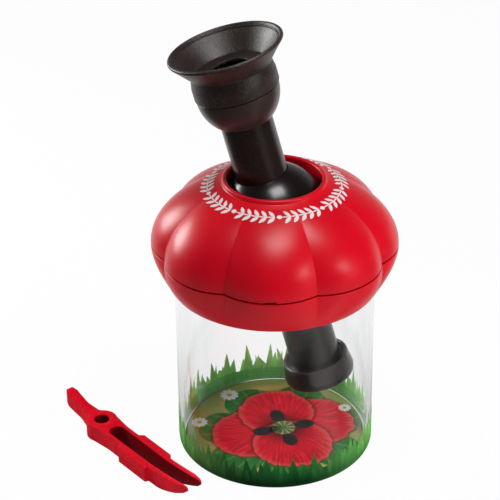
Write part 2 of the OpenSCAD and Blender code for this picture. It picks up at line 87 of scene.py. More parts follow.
def reach(node, centre=(0, 0, 0), axis=UP):
    """Lowest and highest place of a CAD node along an axis, and its largest radius from it."""
    origin = Vector(centre)
    places = []
    radii = []
    for vertex in frame["nodes"][node].data.vertices:
        arm = vertex.co - origin
        place = arm.dot(axis)
        places.append(place)
        radii.append((arm - place * axis).length)
    return min(places), max(places), max(radii)


JOINTS = {joint["name"]: joint for joint in frame["joints"]}
MOUNTS = {mount["name"]: mount for mount in frame["record"]["mounts"]}
BALL_CENTRE = Vector(JOINTS["viewer_tilt"]["pos_m"])
VIEW_AXIS = Vector(JOINTS["focus_slide"]["axis"]).normalized()


def on_view_axis(node):
    """The reach of a node of the viewer or the ball, from the ball's centre along the viewer."""
    return reach(node, BALL_CENTRE, VIEW_AXIS)


JAR_LOW, JAR_TOP, JAR_R = reach("jar_shell")
CARD_LOW, CARD_TOP, _ = reach("floor_card")
DISC_LOW, DISC_TOP, DISC_R = reach("floor_window")
FILM_TOP = reach("grass_film")[1]
SKIRT_LOW, LIP_TOP, LID_R = reach("lid_lower")
BOSS_LOW, RIM_TOP, _ = reach("lid_upper")
BALL_R = on_view_axis("ball_upper")[2]
TUBE_LOW, TUBE_TOP, TUBE_R = on_view_axis("barrel_tube")
CAP_LOW, CAP_TOP, CAP_R = on_view_axis("objective_cap")
_, BOWL_TOP, BOWL_R = on_view_axis("eyepiece_bowl")
_, CUP_TOP, CUP_R = on_view_axis("eyecup")
SIGHT_LOW, SIGHT_TOP, SIGHT_R = on_view_axis("sight_ring")
EYE = Vector(MOUNTS["tweezers_eye"]["pos_m"])
ROOT_LEFT = Vector(JOINTS["arm_left_squeeze"]["pos_m"])
ROOT_RIGHT = Vector(JOINTS["arm_right_squeeze"]["pos_m"])
ROOTS = (ROOT_LEFT + ROOT_RIGHT) / 2 - EYE
TWEEZERS_TURN = math.atan2(ROOTS.y, ROOTS.x)


# Sizes and colours that a user may change

def length(label, about, default):
    """A size in metres, given in millimetres."""
    return FloatProperty(name=label, description=about, default=default * MM, unit="LENGTH", precision=5)


def count(label, about, default):
    """A whole number of copies or steps."""
    return IntProperty(name=label, description=about, default=default, min=1)


def share(label, about, default):
    """A plain factor."""
    return FloatProperty(name=label, description=about, default=default)


def angle(label, about, default):
    """An angle, given in degrees."""
    return FloatProperty(name=label, description=about, default=math.radians(default), unit="ROTATION")


def colour(label, about, *rgb):
    """A colour, given as linear red, green and blue."""
    return FloatVectorProperty(
        name=label, description=about, default=rgb, subtype="COLOR", size=3, min=0, max=1)


class JarSizes(bpy.types.PropertyGroup):
    """Sizes of the jar, its print and its floor."""

    wall: length("Wall", "Wall of the jar", 1.8)
    floor: length("Floor", "Thickness of the jar's floor", 1.6)
    foot_fillet: length("Foot fillet", "Radius of the outer bottom edge", 1.8)
    mouth_fillet: length("Mouth fillet", "Radius of the two edges of the mouth", 0.5)
    inner_fillet: length("Inner fillet", "Radius between the jar's wall and its floor", 0.5)
    card_gap: length("Card gap", "Gap between the printed card and the jar's wall", 0.55)
    disc_fillet: length("Disc fillet", "Radius of the disc's edges", 0.25)
    ink: length("Ink", "Thickness of one printed layer", 0.04)
    band: length("Band", "Height of the closed green band at the foot", 8)


class GrassSizes(bpy.types.PropertyGroup):
    """Sizes of the printed grass."""

    width: length("Width", "Width of a blade at its foot", 5.6)
    root: length("Root", "Height at which the blades start", 3)
    tufts: count("Tufts", "Tufts of three blades round the jar", 27)
    fillers: count("Fillers", "Short blades between the tufts", 46)
    straws: count("Straws", "Single thin blades in front of the tufts", 30)
    rows: count("Rows", "Rows of faces in one blade", 5)
    front: share("Front height", "Height of the blades at the front, as a share of the back's", 0.72)
    seed: count("Seed", "Seed of the blades' differences", 7)


class LidSizes(bpy.types.PropertyGroup):
    """Sizes of the two lid covers."""

    lobes: count("Lobes", "Number of lobes", 8)
    lobe_steps: count("Lobe steps", "Columns of faces in one lobe", 48)
    turn: angle("Turn", "Turn of the first crest from the right-hand side", -2.85)
    part: length("Parting line", "Height of the parting line over the table", 103.1)
    part_gap: length("Parting gap", "Height of the gap at the parting line", 0.75)
    rise: length("Rise", "Rise of the dome to its virtual top", 33)
    groove: length("Groove", "Depth of a groove at the parting line", 3.8)
    groove_end: share("Groove end", "Share of the rise at which the grooves have run out", 0.83)
    wall: length("Wall", "Wall of the covers", 2)
    edge: length("Edge", "Radius of the covers' edges", 0.35)
    skirt_r: length("Skirt radius", "Radius of the lower cover's bottom edge", 47)
    skirt_power: share("Skirt power", "Power of the lower cover's profile", 1.8)
    collar_fit: length("Collar fit", "Radial gap between the collar and the jar", 0.1)
    collar_lift: length("Collar lift", "Height of the collar over the bottom edge", 0.6)
    shelf: length("Shelf", "Thickness of the shelf on the jar's mouth", 2)
    shelf_r: length("Shelf radius", "Inner radius of the shelf", 30.6)
    lip: length("Lip", "Height of the lip inside the parting line", 2.4)
    lip_in: length("Lip inset", "Step from the outside to the lip", 1.2)
    hole_r: length("Hole", "Radius of the ball's hole", 20.9)
    rim: length("Rim", "Width of the rim round the hole", 1.9)
    foot: length("Rim foot", "Width of the rim's foot", 2.6)
    boss_r: length("Boss radius", "Radius of a screw boss", 3.5)
    boss_bore: length("Boss bore", "Radius of a boss's bore", 1.55)
    boss_reach: share("Boss reach", "Share of the dome's rise that the bosses reach", 0.62)
    screws: count("Screws", "Screws that hold the covers together", 4)
    screw_ring: length("Screw ring", "Distance of the screws from the axis", 36.2)
    pry_at: length("Pry place", "Place of the pry notch across the front", -2.6)
    pry_width: length("Pry width", "Width of the pry notch at the front", 5)
    pry_height: length("Pry height", "Height of the pry notch", 1.1)
    sprigs: count("Sprigs", "Printed sprigs round the hole", 9)
    sprig_pairs: count("Pairs", "Pairs of leaves in a sprig", 5)
    mark_gap: length("Mark gap", "Gap between the rim's foot and the leaves", 0.9)
    mark_length: length("Mark length", "Length of a printed leaf", 4.3)
    mark_width: length("Mark width", "Width of a printed leaf", 1.65)
    mark_ink: length("Mark ink", "Thickness of the printed leaves", 0.04)
    mark_lean: angle("Mark lean", "Lean of the leaves along the ring", 42)


class ViewerSizes(bpy.types.PropertyGroup):
    """Sizes of the ball, the tube and the eyepiece."""

    ball_wall: length("Ball wall", "Wall of the ball", 1.8)
    bore: length("Bore", "Radius of the bores round the tube", 11.55)
    sleeve: length("Sleeve", "Wall of the ball's sleeve", 1.5)
    tube_wall: length("Tube wall", "Wall of the tube", 1.4)
    bowl_up: length("Bowl place", "Place of the bowl's centre along the viewer", 62.3)
    seam_up: length("Seam", "Height of the bowl's edge over its centre", 0.6)
    seam: length("Seam gap", "Gap between the bowl's edge and the eyecup", 0.35)
    foot: length("Foot", "Width of the flat under the bowl", 0.7)
    pocket_wall: length("Pocket wall", "Wall of the bowl's lens pocket", 1.8)
    pocket: length("Pocket", "Depth of the lens pocket", 4.5)
    ledge: length("Ledge", "Width of the ledge that the lens lies on", 0.8)
    bowl_floor: length("Bowl floor", "Thickness of the bowl's floor over the tube", 2)
    tube_room: length("Tube room", "How far the bowl's floor opens round the tube's bore", 0.3)
    skirt: length("Skirt", "Wall of the eyecup's skirt", 1.7)
    swell: length("Swell", "How far the skirt stands out of the bowl", 0.5)
    waist_up: length("Waist", "Height of the waist over the skirt's edge", 10.6)
    waist_in: length("Waist inset", "How far the waist lies inside the bowl's radius", 0.4)
    rim_out: length("Rim out", "How far the eyecup's rim stands over the CAD solid", 0.4)
    lip: length("Lip", "Thickness of the eyecup's rim", 1.5)
    floor_r: length("Floor radius", "Radius of the eyecup's floor", 15.2)
    sight_r: length("Sight hole", "Radius of the sight hole", 8)
    sight_thick: length("Sight ring", "Thickness of the ring round the sight hole", 1)
    sight_skirt: length("Sight skirt", "Wall of that ring's skirt", 1.4)
    cap_window: length("Cap window", "Radius of the cap's window", 9.2)
    lens_room: length("Lens room", "Room for the lens between the tube's end and the cap's flange", 2.6)
    cap_lip_in: length("Cap lip inset", "How far the cap's lip lies inside its foot", 1.5)
    cap_lip: length("Cap lip", "Width of the cap's lip", 1.45)
    cap_low: length("Cap lip drop", "How far the lip lies under the cap's top", 0.8)
    cap_groove: length("Cap groove", "Depth of the groove inside the cap's lip", 4.4)
    cap_collar: length("Cap collar", "Wall of the cap's inner collar", 0.95)
    cap_edge: length("Cap edge", "Radius of the cap's lower edge", 2.2)


class TweezersSizes(bpy.types.PropertyGroup):
    """Sizes of the tweezers, from the hole's centre."""

    reach: length("Reach", "Length to the tips", 71.2)
    tail: length("Tail", "Length of the tail", 26.5)
    thick: length("Thickness", "Thickness of the moulding", 8)
    hole_r: length("Hole", "Radius of the hole", 3.65)
    boss_r: length("Eye", "Radius of the eye", 7.3)
    slot_r: length("Slot", "Half of the slot's width", 3.9)
    slot_start: length("Slot start", "Place at which the slot starts", 8.8)
    draft: length("Draft", "How far the slot narrows to its underside", 1.9)
    draft_end: length("Draft end", "Place from which the slot narrows less", 40)
    arm: length("Arm", "Width of an arm", 2.5)
    pad_start: length("Pad start", "Place at which the grip pads start", 23)
    pad_end: length("Pad end", "Place at which the grip pads end", 44.6)
    pad_out: length("Pad", "How far a grip pad stands out", 1.2)
    pad_step: length("Pad step", "Length of a pad's slope", 1.2)
    tail_lift: length("Tail lift", "Lift of the tail's end off the table", 3.8)
    tip_lift: length("Tip lift", "Rise of the tips over the flat top", 2.7)
    tip: length("Tip", "Thickness of the tips", 2.9)
    tail_thin: length("Tail thinning", "How much thinner the tail is than the eye", 0.9)
    waist: length("Waist", "How much the arms narrow behind the eye", 0.8)
    tail_from: length("Tail bend", "Place at which the tail starts to rise", 6)
    under_from: length("Under bend", "Place at which the underside starts to rise", 50)
    over_from: length("Upper bend", "Place at which the upper side starts to rise", 43.4)
    bend_power: share("Bend power", "Power of the curves at the tail and the tips", 1.45)
    edge: length("Edge", "Radius of the edges", 0.42)


class Colours(bpy.types.PropertyGroup):
    """Colours of the plastics, the inks and the stage."""

    red: colour("Red", "Lid and tweezers", 0.68, 0.001, 0.0125)
    black: colour("Black", "Ball", 0.009, 0.005, 0.005)
    satin: colour("Satin black", "Tube, cap and eyepiece", 0.014, 0.0075, 0.0064)
    rubber: colour("Rubber", "Eyecup", 0.019, 0.011, 0.0088)
    clear: colour("Clear", "Jar and disc", 0.994, 0.996, 0.999)
    ink: colour("White ink", "Printed leaves on the lid", 0.87, 0.83, 0.83)
    # The four grass colours hold painted light and shade: the front ones are painted darker and the back ones
    # lighter than the print's own green.
    shaded_front_foot: colour("Front foot", "Foot of the grass at the front", 0.003, 0.045, 0.014)
    shaded_front_tip: colour("Front tips", "Tips of the grass at the front", 0.022, 0.21, 0.04)
    lit_back_foot: colour("Back foot", "Foot of the grass at the back", 0.11, 0.5, 0.09)
    lit_back_tip: colour("Back tips", "Tips of the grass at the back", 0.36, 0.74, 0.2)
    earth: colour("Earth", "Ground of the floor print", 0.64, 0.4, 0.12)
    moss: colour("Moss", "Green of the floor print", 0.3, 0.38, 0.1)
    petal: colour("Petal", "Petals of the floor print", 0.84, 0.004, 0.022)
    petal_lit: colour("Light petal", "Light streaks of the petals", 0.92, 0.014, 0.034)
    soot: colour("Soot", "Dark blotches of the floor print", 0.014, 0.012, 0.012)
    steel: colour("Steel", "Screws", 0.55, 0.55, 0.56)


class StageSettings(bpy.types.PropertyGroup):
    """Camera, lamps and floor."""

    focal: FloatProperty(name="Lens", description="Focal length in mm on a 36 mm sensor", default=136.8)
    pitch: angle("Pitch", "How far the camera looks down", 29.45)
    roll: angle("Roll", "Roll of the camera", 0.6)
    distance: length("Distance", "Distance from the camera to its target", 848.1)
    target_x: length("Target across", "Place of the target across the view", -10.98)
    target_z: length("Target height", "Height of the target", 98.59)
    floor_size: length("Floor", "Width of the floor", 6000)
    white: share("Floor white", "Share of the floor's look that is plain white", 0.96)
    mirrored: share("Mirrored white", "Share of that white that glossy surfaces mirror in front", 0.06)
    streak: share("Streak", "Strength of the streak that glossy surfaces mirror at the right", 0.4)
    world: share("World", "Strength of the surrounding light", 0.08)
    behind: share("Behind", "Strength of the mirrored light behind the object", 0.35)
    key: share("Key lamp", "Power of the key lamp in watts", 3.5)
    fill: share("Front fill", "Power of the weak lamp at the front in watts", 0.13)
    overhead: share("Overhead box", "Power of the soft box overhead in watts", 1.65)
    left: share("Left box", "Power of the soft box at the left in watts", 2.5)
    right: share("Right lamp", "Power of the small lamp at the right in watts", 0.72)


GROUPS = {
    "jar_sizes": JarSizes,
    "grass_sizes": GrassSizes,
    "lid_sizes": LidSizes,
    "viewer_sizes": ViewerSizes,
    "tweezers_sizes": TweezersSizes,
    "jar_colours": Colours,
    "stage_settings": StageSettings,
}


# Modelling tools

def clear_selection():
    """Leaves nothing selected, in object mode."""
    if bpy.context.mode != "OBJECT":
        bpy.ops.object.mode_set(mode="OBJECT")
    bpy.ops.object.select_all(action="DESELECT")


def pick(piece):
    """Makes a piece the only selected object and the active one."""
    clear_selection()
    piece.select_set(True)
    bpy.context.view_layer.objects.active = piece
    return piece


def place_kept():
    """Applies the picked piece's place, turn and size to its mesh."""
    bpy.ops.object.transform_apply(location=True, rotation=True, scale=True)


def select_mesh():
    """Selects all of the mesh in edit mode."""
    bpy.ops.mesh.select_all(action="SELECT")


def face_outwards():
    """Turns every face of the mesh in edit mode outwards."""
    select_mesh()
    bpy.ops.mesh.normals_make_consistent(inside=False)


def added(name, data):
    """A new object that holds data, in the scene."""
    made = bpy.data.objects.new(name, data)
    bpy.context.collection.objects.link(made)
    return made


def copied(piece):
    """A copy of a piece with a mesh of its own."""
    return added(piece.name, piece.data.copy())


def held(value):
    """A value held between 0 and 1."""
    return min(1, max(0, value))


def arc(centre, radius, start, end, steps=12):
    """Outline points round an arc, from one angle in degrees to another."""
    points = []
    for i in range(steps + 1):
        turn = math.radians(start + (end - start) * i / steps)
        points.append((centre[0] + radius * math.cos(turn), centre[1] + radius * math.sin(turn)))
    return points


def rounded(corners, steps=5):
    """An outline whose corners (x, y, fillet) are rounded; points beside them keep the flats flat."""
    most = 0.48
    hold = 0.25 * MM
    points = []
    for i, corner in enumerate(corners):
        here = Vector(corner[:2])
        if len(corner) == 2:
            points.append(tuple(here))
            continue
        to_last = Vector(corners[i - 1][:2]) - here
        to_next = Vector(corners[(i + 1) % len(corners)][:2]) - here
        half = to_last.angle(to_next) / 2
        away = min(corner[2] / math.tan(half), most * to_last.length, most * to_next.length)
        back, on = to_last.normalized(), to_next.normalized()
        middle = here + (back + on).normalized() * away / math.cos(half)
        first = here + back * away - middle
        sweep = first.angle_signed(here + on * away - middle)
        bend = [middle + Matrix.Rotation(-sweep * k / steps, 2) @ first for k in range(steps + 1)]
        if to_last.length - away > 3 * hold:
            points.append(tuple(bend[0] + back * hold))
        points += [tuple(point) for point in bend]
        if to_next.length - away > 3 * hold:
            points.append(tuple(bend[-1] + on * hold))
    return points


def drawn(points, plane="XZ"):
    """Draws a closed outline as edges: one vertex, extruded from point to point."""
    clear_selection()
    place = [Vector((x, 0, y)) if plane == "XZ" else Vector((x, y, 0)) for x, y in points]
    bpy.ops.mesh.primitive_plane_add(size=MM, location=place[0])
    bpy.ops.object.mode_set(mode="EDIT")
    bpy.ops.mesh.select_mode(type="VERT")
    bpy.ops.mesh.merge(type="CENTER")
    for last, here in zip(place, place[1:] + place[:1]):
        bpy.ops.mesh.extrude_region_move(TRANSFORM_OT_translate={"value": here - last})
    select_mesh()
    bpy.ops.mesh.remove_doubles(threshold=SAME_POINT)
    return bpy.context.object


def turned(points, steps=TURN_STEPS):
    """A closed piece of revolution: its outline of (radius, height) points, spun about the upright axis."""
    piece = drawn(points)
    bpy.ops.mesh.spin(steps=steps, angle=math.tau, center=(0, 0, 0), axis=UP)
    select_mesh()
    bpy.ops.mesh.remove_doubles(threshold=SAME_POINT)
    bpy.ops.mesh.delete_loose()
    face_outwards()
    bpy.ops.object.mode_set(mode="OBJECT")
    place_kept()
    return piece


def along_viewer(piece):
    """Turns a piece made upright round the origin into the viewer's place."""
    pick(piece)
    lean = UP.rotation_difference(VIEW_AXIS).to_matrix().to_4x4()
    piece.matrix_world = Matrix.Translation(BALL_CENTRE) @ lean
    place_kept()
    return piece


def modified(piece, kind, **settings):
    """Adds a modifier with its settings and applies it."""
    pick(piece)
    modifier = piece.modifiers.new(kind.title(), kind)
    for key, value in settings.items():
        setattr(modifier, key, value)
    bpy.ops.object.modifier_apply(modifier=modifier.name)
    return piece


def joined(pieces):
    """Joins pieces into one object."""
    pick(pieces[0])
    for other in pieces[1:]:
        other.select_set(True)
    bpy.ops.object.join()
    return pieces[0]


def settled(piece, name, body, material, nodes=(), smooth=SMOOTH):
    """Names, shades and paints a finished piece, joins it to its body and hides the nodes it shows."""
    pick(piece)
    place_kept()
    piece.name = piece.data.name = name
    bpy.ops.object.shade_smooth_by_angle(angle=smooth)
    if not piece.data.materials:
        piece.data.materials.append(material)
    if body:
        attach(piece, body)
    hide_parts(*nodes)
    return piece


# Shader tools

class Wire:
    """A shader socket whose arithmetic adds Math nodes."""

    def __init__(self, paint, socket):
        self.paint = paint
        self.socket = socket

    def maths(self, operation, *values):
        """Any operation of the Math node, with this socket first."""
        return self.paint.node("ShaderNodeMath", {"operation": operation}, [self, *values])

    def __add__(self, other):
        return self.maths("ADD", other)

    def __sub__(self, other):
        return self.maths("SUBTRACT", other)

    def __mul__(self, other):
        return self.maths("MULTIPLY", other)

    def __truediv__(self, other):
        return self.maths("DIVIDE", other)

    def __pow__(self, other):
        return self.maths("POWER", other)

    def __rsub__(self, other):
        return self.paint.node("ShaderNodeMath", {"operation": "SUBTRACT"}, [other, self])

    __radd__ = __add__
    __rmul__ = __mul__

    def step(self, low, high):
        """A smooth step from 0 at low to 1 at high."""
        settings = {"interpolation_type": "SMOOTHSTEP"}
        return self.paint.node("ShaderNodeMapRange", settings, [self, low, high, 0.0, 1.0])


class Paint:
    """A node-based material, made from one shader and what feeds it."""

    def __init__(self, name):
        self.start(bpy.data.materials.new(name))
        self.place = self.node("ShaderNodeTexCoord", out="Object")

    @classmethod
    def of_world(cls, world):
        """Nodes of a world."""
        made = cls.__new__(cls)
        made.start(world)
        return made

    def start(self, owner):
        """Empties the nodes of a material or a world."""
        self.material = owner
        owner.use_nodes = True
        self.tree = owner.node_tree
        self.tree.nodes.clear()

    def node(self, kind, settings=None, sockets=(), out=0):
        """Adds a node, sets it up, joins or sets its sockets in order or by name, and gives one output."""
        made = self.tree.nodes.new(kind)
        for key, value in (settings or {}).items():
            setattr(made, key, value)
        shown = [s for s in made.inputs if s.enabled]
        pairs = sockets.items() if isinstance(sockets, dict) else enumerate(sockets)
        for key, value in pairs:
            target = shown[key] if isinstance(key, int) else made.inputs[key]
            if isinstance(value, Wire):
                self.tree.links.new(value.socket, target)
            elif target.type == "RGBA":
                target.default_value = (*value, 1)
            else:
                target.default_value = value
        if not made.outputs:
            return made
        outputs = [s for s in made.outputs if s.enabled]
        return Wire(self, outputs[out] if isinstance(out, int) else made.outputs[out])

    def noise(self, scale, detail=3.0, rough=0.5, vector=None):
        """Soft noise, from 0 to 1, with patches of about 1 / scale metres."""
        sockets = {"Vector": vector or self.place, "Scale": scale, "Detail": detail, "Roughness": rough}
        return self.node("ShaderNodeTexNoise", None, sockets)

    def mix(self, factor, first, second):
        """A colour between two others."""
        return self.node("ShaderNodeMix", {"data_type": "RGBA"}, [factor, first, second])

    def axes(self, vector=None):
        """The three numbers of a vector."""
        made = self.node("ShaderNodeSeparateXYZ", None, [vector or self.place])
        return [Wire(self, s) for s in made.socket.node.outputs]

    def vector(self, *numbers):
        """A vector of three numbers."""
        return self.node("ShaderNodeCombineXYZ", None, numbers)

    def attribute(self, name, output):
        """An attribute of the mesh."""
        return self.node("ShaderNodeAttribute", {"attribute_name": name}, (), output)

    def ray(self, output):
        """What the light path says of the ray."""
        return self.node("ShaderNodeLightPath", None, (), output)

    def bump(self, height, distance):
        """A surface raised by height times distance, in metres."""
        sockets = {"Height": height, "Distance": distance, "Strength": 1.0}
        return self.node("ShaderNodeBump", None, sockets)

    def shaded(self, **sockets):
        """Ends the material in one Principled shader and gives the material."""
        named = {}
        for key, value in sockets.items():
            named[key.replace("_", " ").title().replace("Ior", "IOR")] = value
        return self.ended(self.node("ShaderNodeBsdfPrincipled", None, named))

    def ended(self, shader):
        """Joins a shader to the output and gives the material."""
        self.node("ShaderNodeOutputMaterial", None, {"Surface": shader})
        return self.material


# Materials

def toned(rgb, factor):
    """A colour made lighter or darker."""
    return [min(1, part * factor) for part in rgb]


def moulded_plastic(name, base, roughness, grain, lighter=1.0, tone=0.12, gloss=0.5, fineness=2600,
                    depth=False):
    """Moulded plastic: faintly cloudy and finely grained, with painted light and shade: lighter scales its colour
    for each piece, and it is painted dark where its depth attribute says.
    """
    paint = Paint(name)
    # Painted light: the colour is made lighter by the piece's own factor, to stand in for the light that falls on
    # it.
    base = toned(base, lighter)
    cloud = paint.noise(38, 4)
    fine = paint.noise(fineness, 2)
    wave = paint.noise(90, 2)
    patches = cloud * 0.5 + fine.step(0.3, 0.7) * 0.5
    look = paint.mix(patches, toned(base, 1 - tone), toned(base, 1 + tone))
    # Painted shade: where the depth attribute is set, the colour falls towards 0.14 of itself, for the shade in
    # recesses and gaps.
    if depth:
        look = paint.mix(paint.attribute("depth", "Fac") * 0.86, look, toned(base, 0.14))
    return paint.shaded(
        base_color=look,
        roughness=roughness + (cloud - 0.5) * 0.12 + (fine - 0.5) * 0.06,
        normal=paint.bump(fine + wave * 3, grain),
        specular_ior_level=gloss,
    )


def red_plastic(name, roughness, grain, tone=0.05, gloss=0.34, **look):
    """Red moulded plastic of the lid and the tweezers."""
    red = bpy.context.scene.jar_colours.red
    return moulded_plastic(name, red, roughness, grain, tone=tone, gloss=gloss, **look)


def satin_plastic(name, roughness, grain, **look):
    """Satin black plastic of the tube, the cap and the eyepiece."""
    satin = bpy.context.scene.jar_colours.satin
    return moulded_plastic(name, satin, roughness, grain, tone=0.2, **look)


def soft_rubber(name):
    """Matt eyecup rubber with a speckled, slightly dusty skin."""
    colours = bpy.context.scene.jar_colours
    paint = Paint(name)
    speck = paint.noise(1150, 3, 0.65)
    dust = paint.noise(110, 4)
    lift = speck.step(0.46, 0.66) * (0.25 + dust.step(0.4, 0.65) * 0.7)
    return paint.shaded(
        base_color=paint.mix(lift, colours.rubber, toned(colours.rubber, 4)),
        roughness=0.37 + dust * 0.16,
        normal=paint.bump(speck, 0.00014),
        specular_ior_level=0.6,
    )


def clear_plastic(name, bend):
    """Clear polished plastic that lets the light of lamps through."""
    colours = bpy.context.scene.jar_colours
    paint = Paint(name)
    wave = paint.noise(26, 1)
    solid = paint.node("ShaderNodeBsdfPrincipled", None, {
        "Base Color": colours.clear,
        "Roughness": 0.0,
        "IOR": bend,
        "Transmission Weight": 1.0,
        "Normal": paint.bump(wave, 0.00002),
    })
    open_way = paint.node("ShaderNodeBsdfTransparent", None, {"Color": (0.93, 0.94, 0.945)})
    return paint.ended(paint.node("ShaderNodeMixShader", None, [paint.ray("Is Shadow Ray"), solid, open_way]))


def frosted_edge_painted_glow(name):
    """The cut edge of the clear disc: dark green, with painted light at the back and the right of its top, where
    it is pale and glows.
    """
    paint = Paint(name)
    grain = paint.noise(900, 2)
    x, y, z = paint.axes()
    upper = z.step(DISC_TOP - 0.6 * MM, DISC_TOP - 0.45 * MM)
    # Painted highlight: the top of the edge towards the back and the right is marked as lit.
    lit = (x * 0.9 + y * 0.55).step(3 * MM, 17 * MM) * upper
    tint = paint.mix(grain, (0.62, 0.64, 0.46), (0.82, 0.84, 0.66))
    return paint.shaded(
        base_color=paint.mix(lit, (0.16, 0.2, 0.06), tint),
        roughness=0.35 + grain * 0.2,
        specular_ior_level=0.1,
        # Painted glow: the marked part emits light though it is no lamp.
        emission_color=paint.mix(lit, (0.0, 0.0, 0.0), (0.9, 0.95, 0.75)),
        emission_strength=0.65,
    )


def printed_ink(name):
    """Printed grass: each blade's colours, painted light and shade included, from its attribute, with faint
    streaks along it.
    """
    paint = Paint(name)
    x, y, z = paint.axes()
    streak = paint.noise(620, 3, 0.6, paint.vector(x, y, z * 0.12))
    blot = paint.noise(140, 3)
    pale = paint.node("ShaderNodeMix", {"data_type": "RGBA", "blend_type": "MULTIPLY"}, [
        0.75,
        paint.attribute("ink", "Color"),
        paint.mix(streak.step(0.3, 0.7), (0.62, 0.68, 0.6), (1.0, 1.0, 0.95)),
    ])
    return paint.shaded(base_color=pale, roughness=0.38 + blot * 0.15, specular_ior_level=0.12)


def white_ink(name):
    """White screen-printed ink, a little thin in places."""
    colours = bpy.context.scene.jar_colours
    paint = Paint(name)
    thin = paint.noise(1300, 3)
    return paint.shaded(
        base_color=paint.mix(thin.step(0.35, 0.75) * 0.3, colours.ink, (0.78, 0.42, 0.44)),
        roughness=0.42 + thin * 0.1,
    )


def floor_print(name):
    """Printed ground: a red flower with dark blotches, leaves and small pale flowers over earth and moss."""
    colours = bpy.context.scene.jar_colours
    paint = Paint(name)
    x, y, _ = paint.axes()

    def polar(centre_x, centre_y):
        """Distance from a point in millimetres, and the turn round it."""
        across = x - centre_x * MM
        along = y - centre_y * MM
        away = (across * across + along * along) ** 0.5
        return away / MM, along.maths("ARCTAN2", across)

    def petals(away, turn, number, radius, cleft, phase=0.0):
        """A mask of a flower with rounded petals."""
        wave = ((turn * (number / 2) + phase).maths("SINE").maths("ABSOLUTE")) ** 0.35
        edge = wave * cleft + (radius - cleft)
        return 1 - (away - edge).step(-0.25, 0.25)

    blur = paint.noise(60, 4)
    fibre = paint.noise(420, 3)
    ruffle = paint.noise(190, 3)
    centre_away, _ = polar(0, 0)
    ground = paint.mix(blur.step(0.36, 0.62), colours.earth, colours.moss)
    ground = paint.mix(centre_away.step(34, 41), ground, colours.moss)
    straw = (0.55, 0.4, 0.17)
    ground = paint.mix(fibre.step(0.5, 0.8) * 0.4, ground, straw)
    # Painted shade: a dark brown patch over the ground at the card's right edge.
    shade_away, _ = polar(44, 8)
    edge_shade_brown = (0.16, 0.028, 0.012)
    ground = paint.mix((1 - shade_away.step(6, 17)) * 0.85, ground, edge_shade_brown)

    leaf_away, leaf_turn = polar(3, -2)
    leaf = petals(leaf_away, leaf_turn, 7, 39.5, 16, 0.4)
    vein = (leaf_turn * 28).maths("SINE").step(0.75, 1.0) * 0.4
    look = paint.mix(leaf, ground, paint.mix(vein, (0.03, 0.19, 0.03), (0.18, 0.44, 0.08)))

    away, turn = polar(4, 1)
    wavy = (ruffle - 0.5) * away.step(12, 30) * 6
    ray = paint.noise(34, 3, 0.5, paint.vector(turn * 0.9, away * 0.003, 0.0)).step(0.36, 0.66)
    lit = paint.mix(ray, toned(colours.petal, 0.7), colours.petal_lit)
    for side, out, radius in ((18, 14.5, 19.5), (196, 15, 19), (104, 13.5, 18), (287, 13.5, 18.5)):
        side = math.radians(side)
        petal_away, _ = polar(4 + out * math.cos(side), 1 + out * math.sin(side))
        rim = petal_away + wavy
        look = paint.mix((1 - rim.step(radius - 0.2, radius + 2.4)) * 0.7, look, (0.07, 0.0, 0.002))
        tone = paint.mix(away.step(5, 17), toned(colours.petal, 0.3), lit)
        tone = paint.mix(rim.step(radius - 3.5, radius) * 0.3, tone, (1.0, 0.2, 0.14))
        look = paint.mix(1 - rim.step(radius - 0.25, radius + 0.25), look, tone)

    fold = (turn - math.radians(16)).maths("WRAP", -math.pi / 4, math.pi / 4)
    across = away * fold.maths("COSINE") - 10.2
    along = away * fold.maths("SINE")
    blotch = 1 - ((across * across * 0.5 + along * along) ** 0.5 + wavy).step(3.0, 4.0)
    look = paint.mix(blotch, look, colours.soot)
    heart = 1 - away.step(5.2, 5.7)
    spoke = (turn * 10).maths("SINE").step(0.2, 0.7) * away.step(1.2, 1.8)
    look = paint.mix(heart, look, paint.mix(spoke, (0.13, 0.19, 0.06), (0.38, 0.42, 0.2)))
    stamen = (turn * 26).maths("SINE").step(0.2, 0.7) * away.step(5.7, 6.2) * (1 - away.step(8.2, 9.0))
    look = paint.mix(stamen * 0.9, look, (0.03, 0.025, 0.03))

    for centre_x, centre_y, size in ((-22, 29, 4.6), (-36, 6, 4.0), (34, 17, 3.2)):
        small_away, small_turn = polar(centre_x, centre_y)
        daisy = petals(small_away, small_turn, 10, size, size * 0.45)
        look = paint.mix(daisy, look, (0.84, 0.84, 0.82))
        look = paint.mix(1 - small_away.step(size * 0.26, size * 0.33), look, (0.75, 0.42, 0.03))
    return paint.shaded(base_color=look, roughness=0.4 + fibre * 0.1, specular_ior_level=0.12)


def bright_steel(name):
    """Plated screw steel with faint turning marks."""
    colours = bpy.context.scene.jar_colours
    paint = Paint(name)
    grain = paint.noise(3000, 2)
    return paint.shaded(
        base_color=paint.mix(grain, toned(colours.steel, 0.8), colours.steel),
        metallic=1.0,
        roughness=0.28 + grain * 0.14,
    )


def lens_glass(name):
    """Moulded lens, clear with a faint cool tint."""
    paint = Paint(name)
    wave = paint.noise(20, 1)
    return paint.shaded(
        base_color=(0.94, 0.97, 0.98),
        roughness=0.01,
        ior=1.52,
        transmission_weight=1.0,
        normal=paint.bump(wave, 0.00001),
    )


# Jar

def make_jar():
    """Clear jar, open at the top."""
    sizes = bpy.context.scene.jar_sizes
    inner = JAR_R - sizes.wall
    outline = rounded([
        (0, JAR_LOW),
        (JAR_R, JAR_LOW, sizes.foot_fillet),
        (JAR_R, JAR_TOP, sizes.mouth_fillet),
        (inner, JAR_TOP, sizes.mouth_fillet),
        (inner, sizes.floor, sizes.inner_fillet),
        (0, sizes.floor),
    ], 8)
    clear = clear_plastic("clear_plastic", 1.42)
    settled(turned(outline, 480), "clear_jar", "jar", clear, ["jar_shell"])


def plate(radius, low, top, fillet):
    """A round plate with rounded edges."""
    return turned(rounded([(0, low), (radius, low, fillet), (radius, top, fillet), (0, top)]))


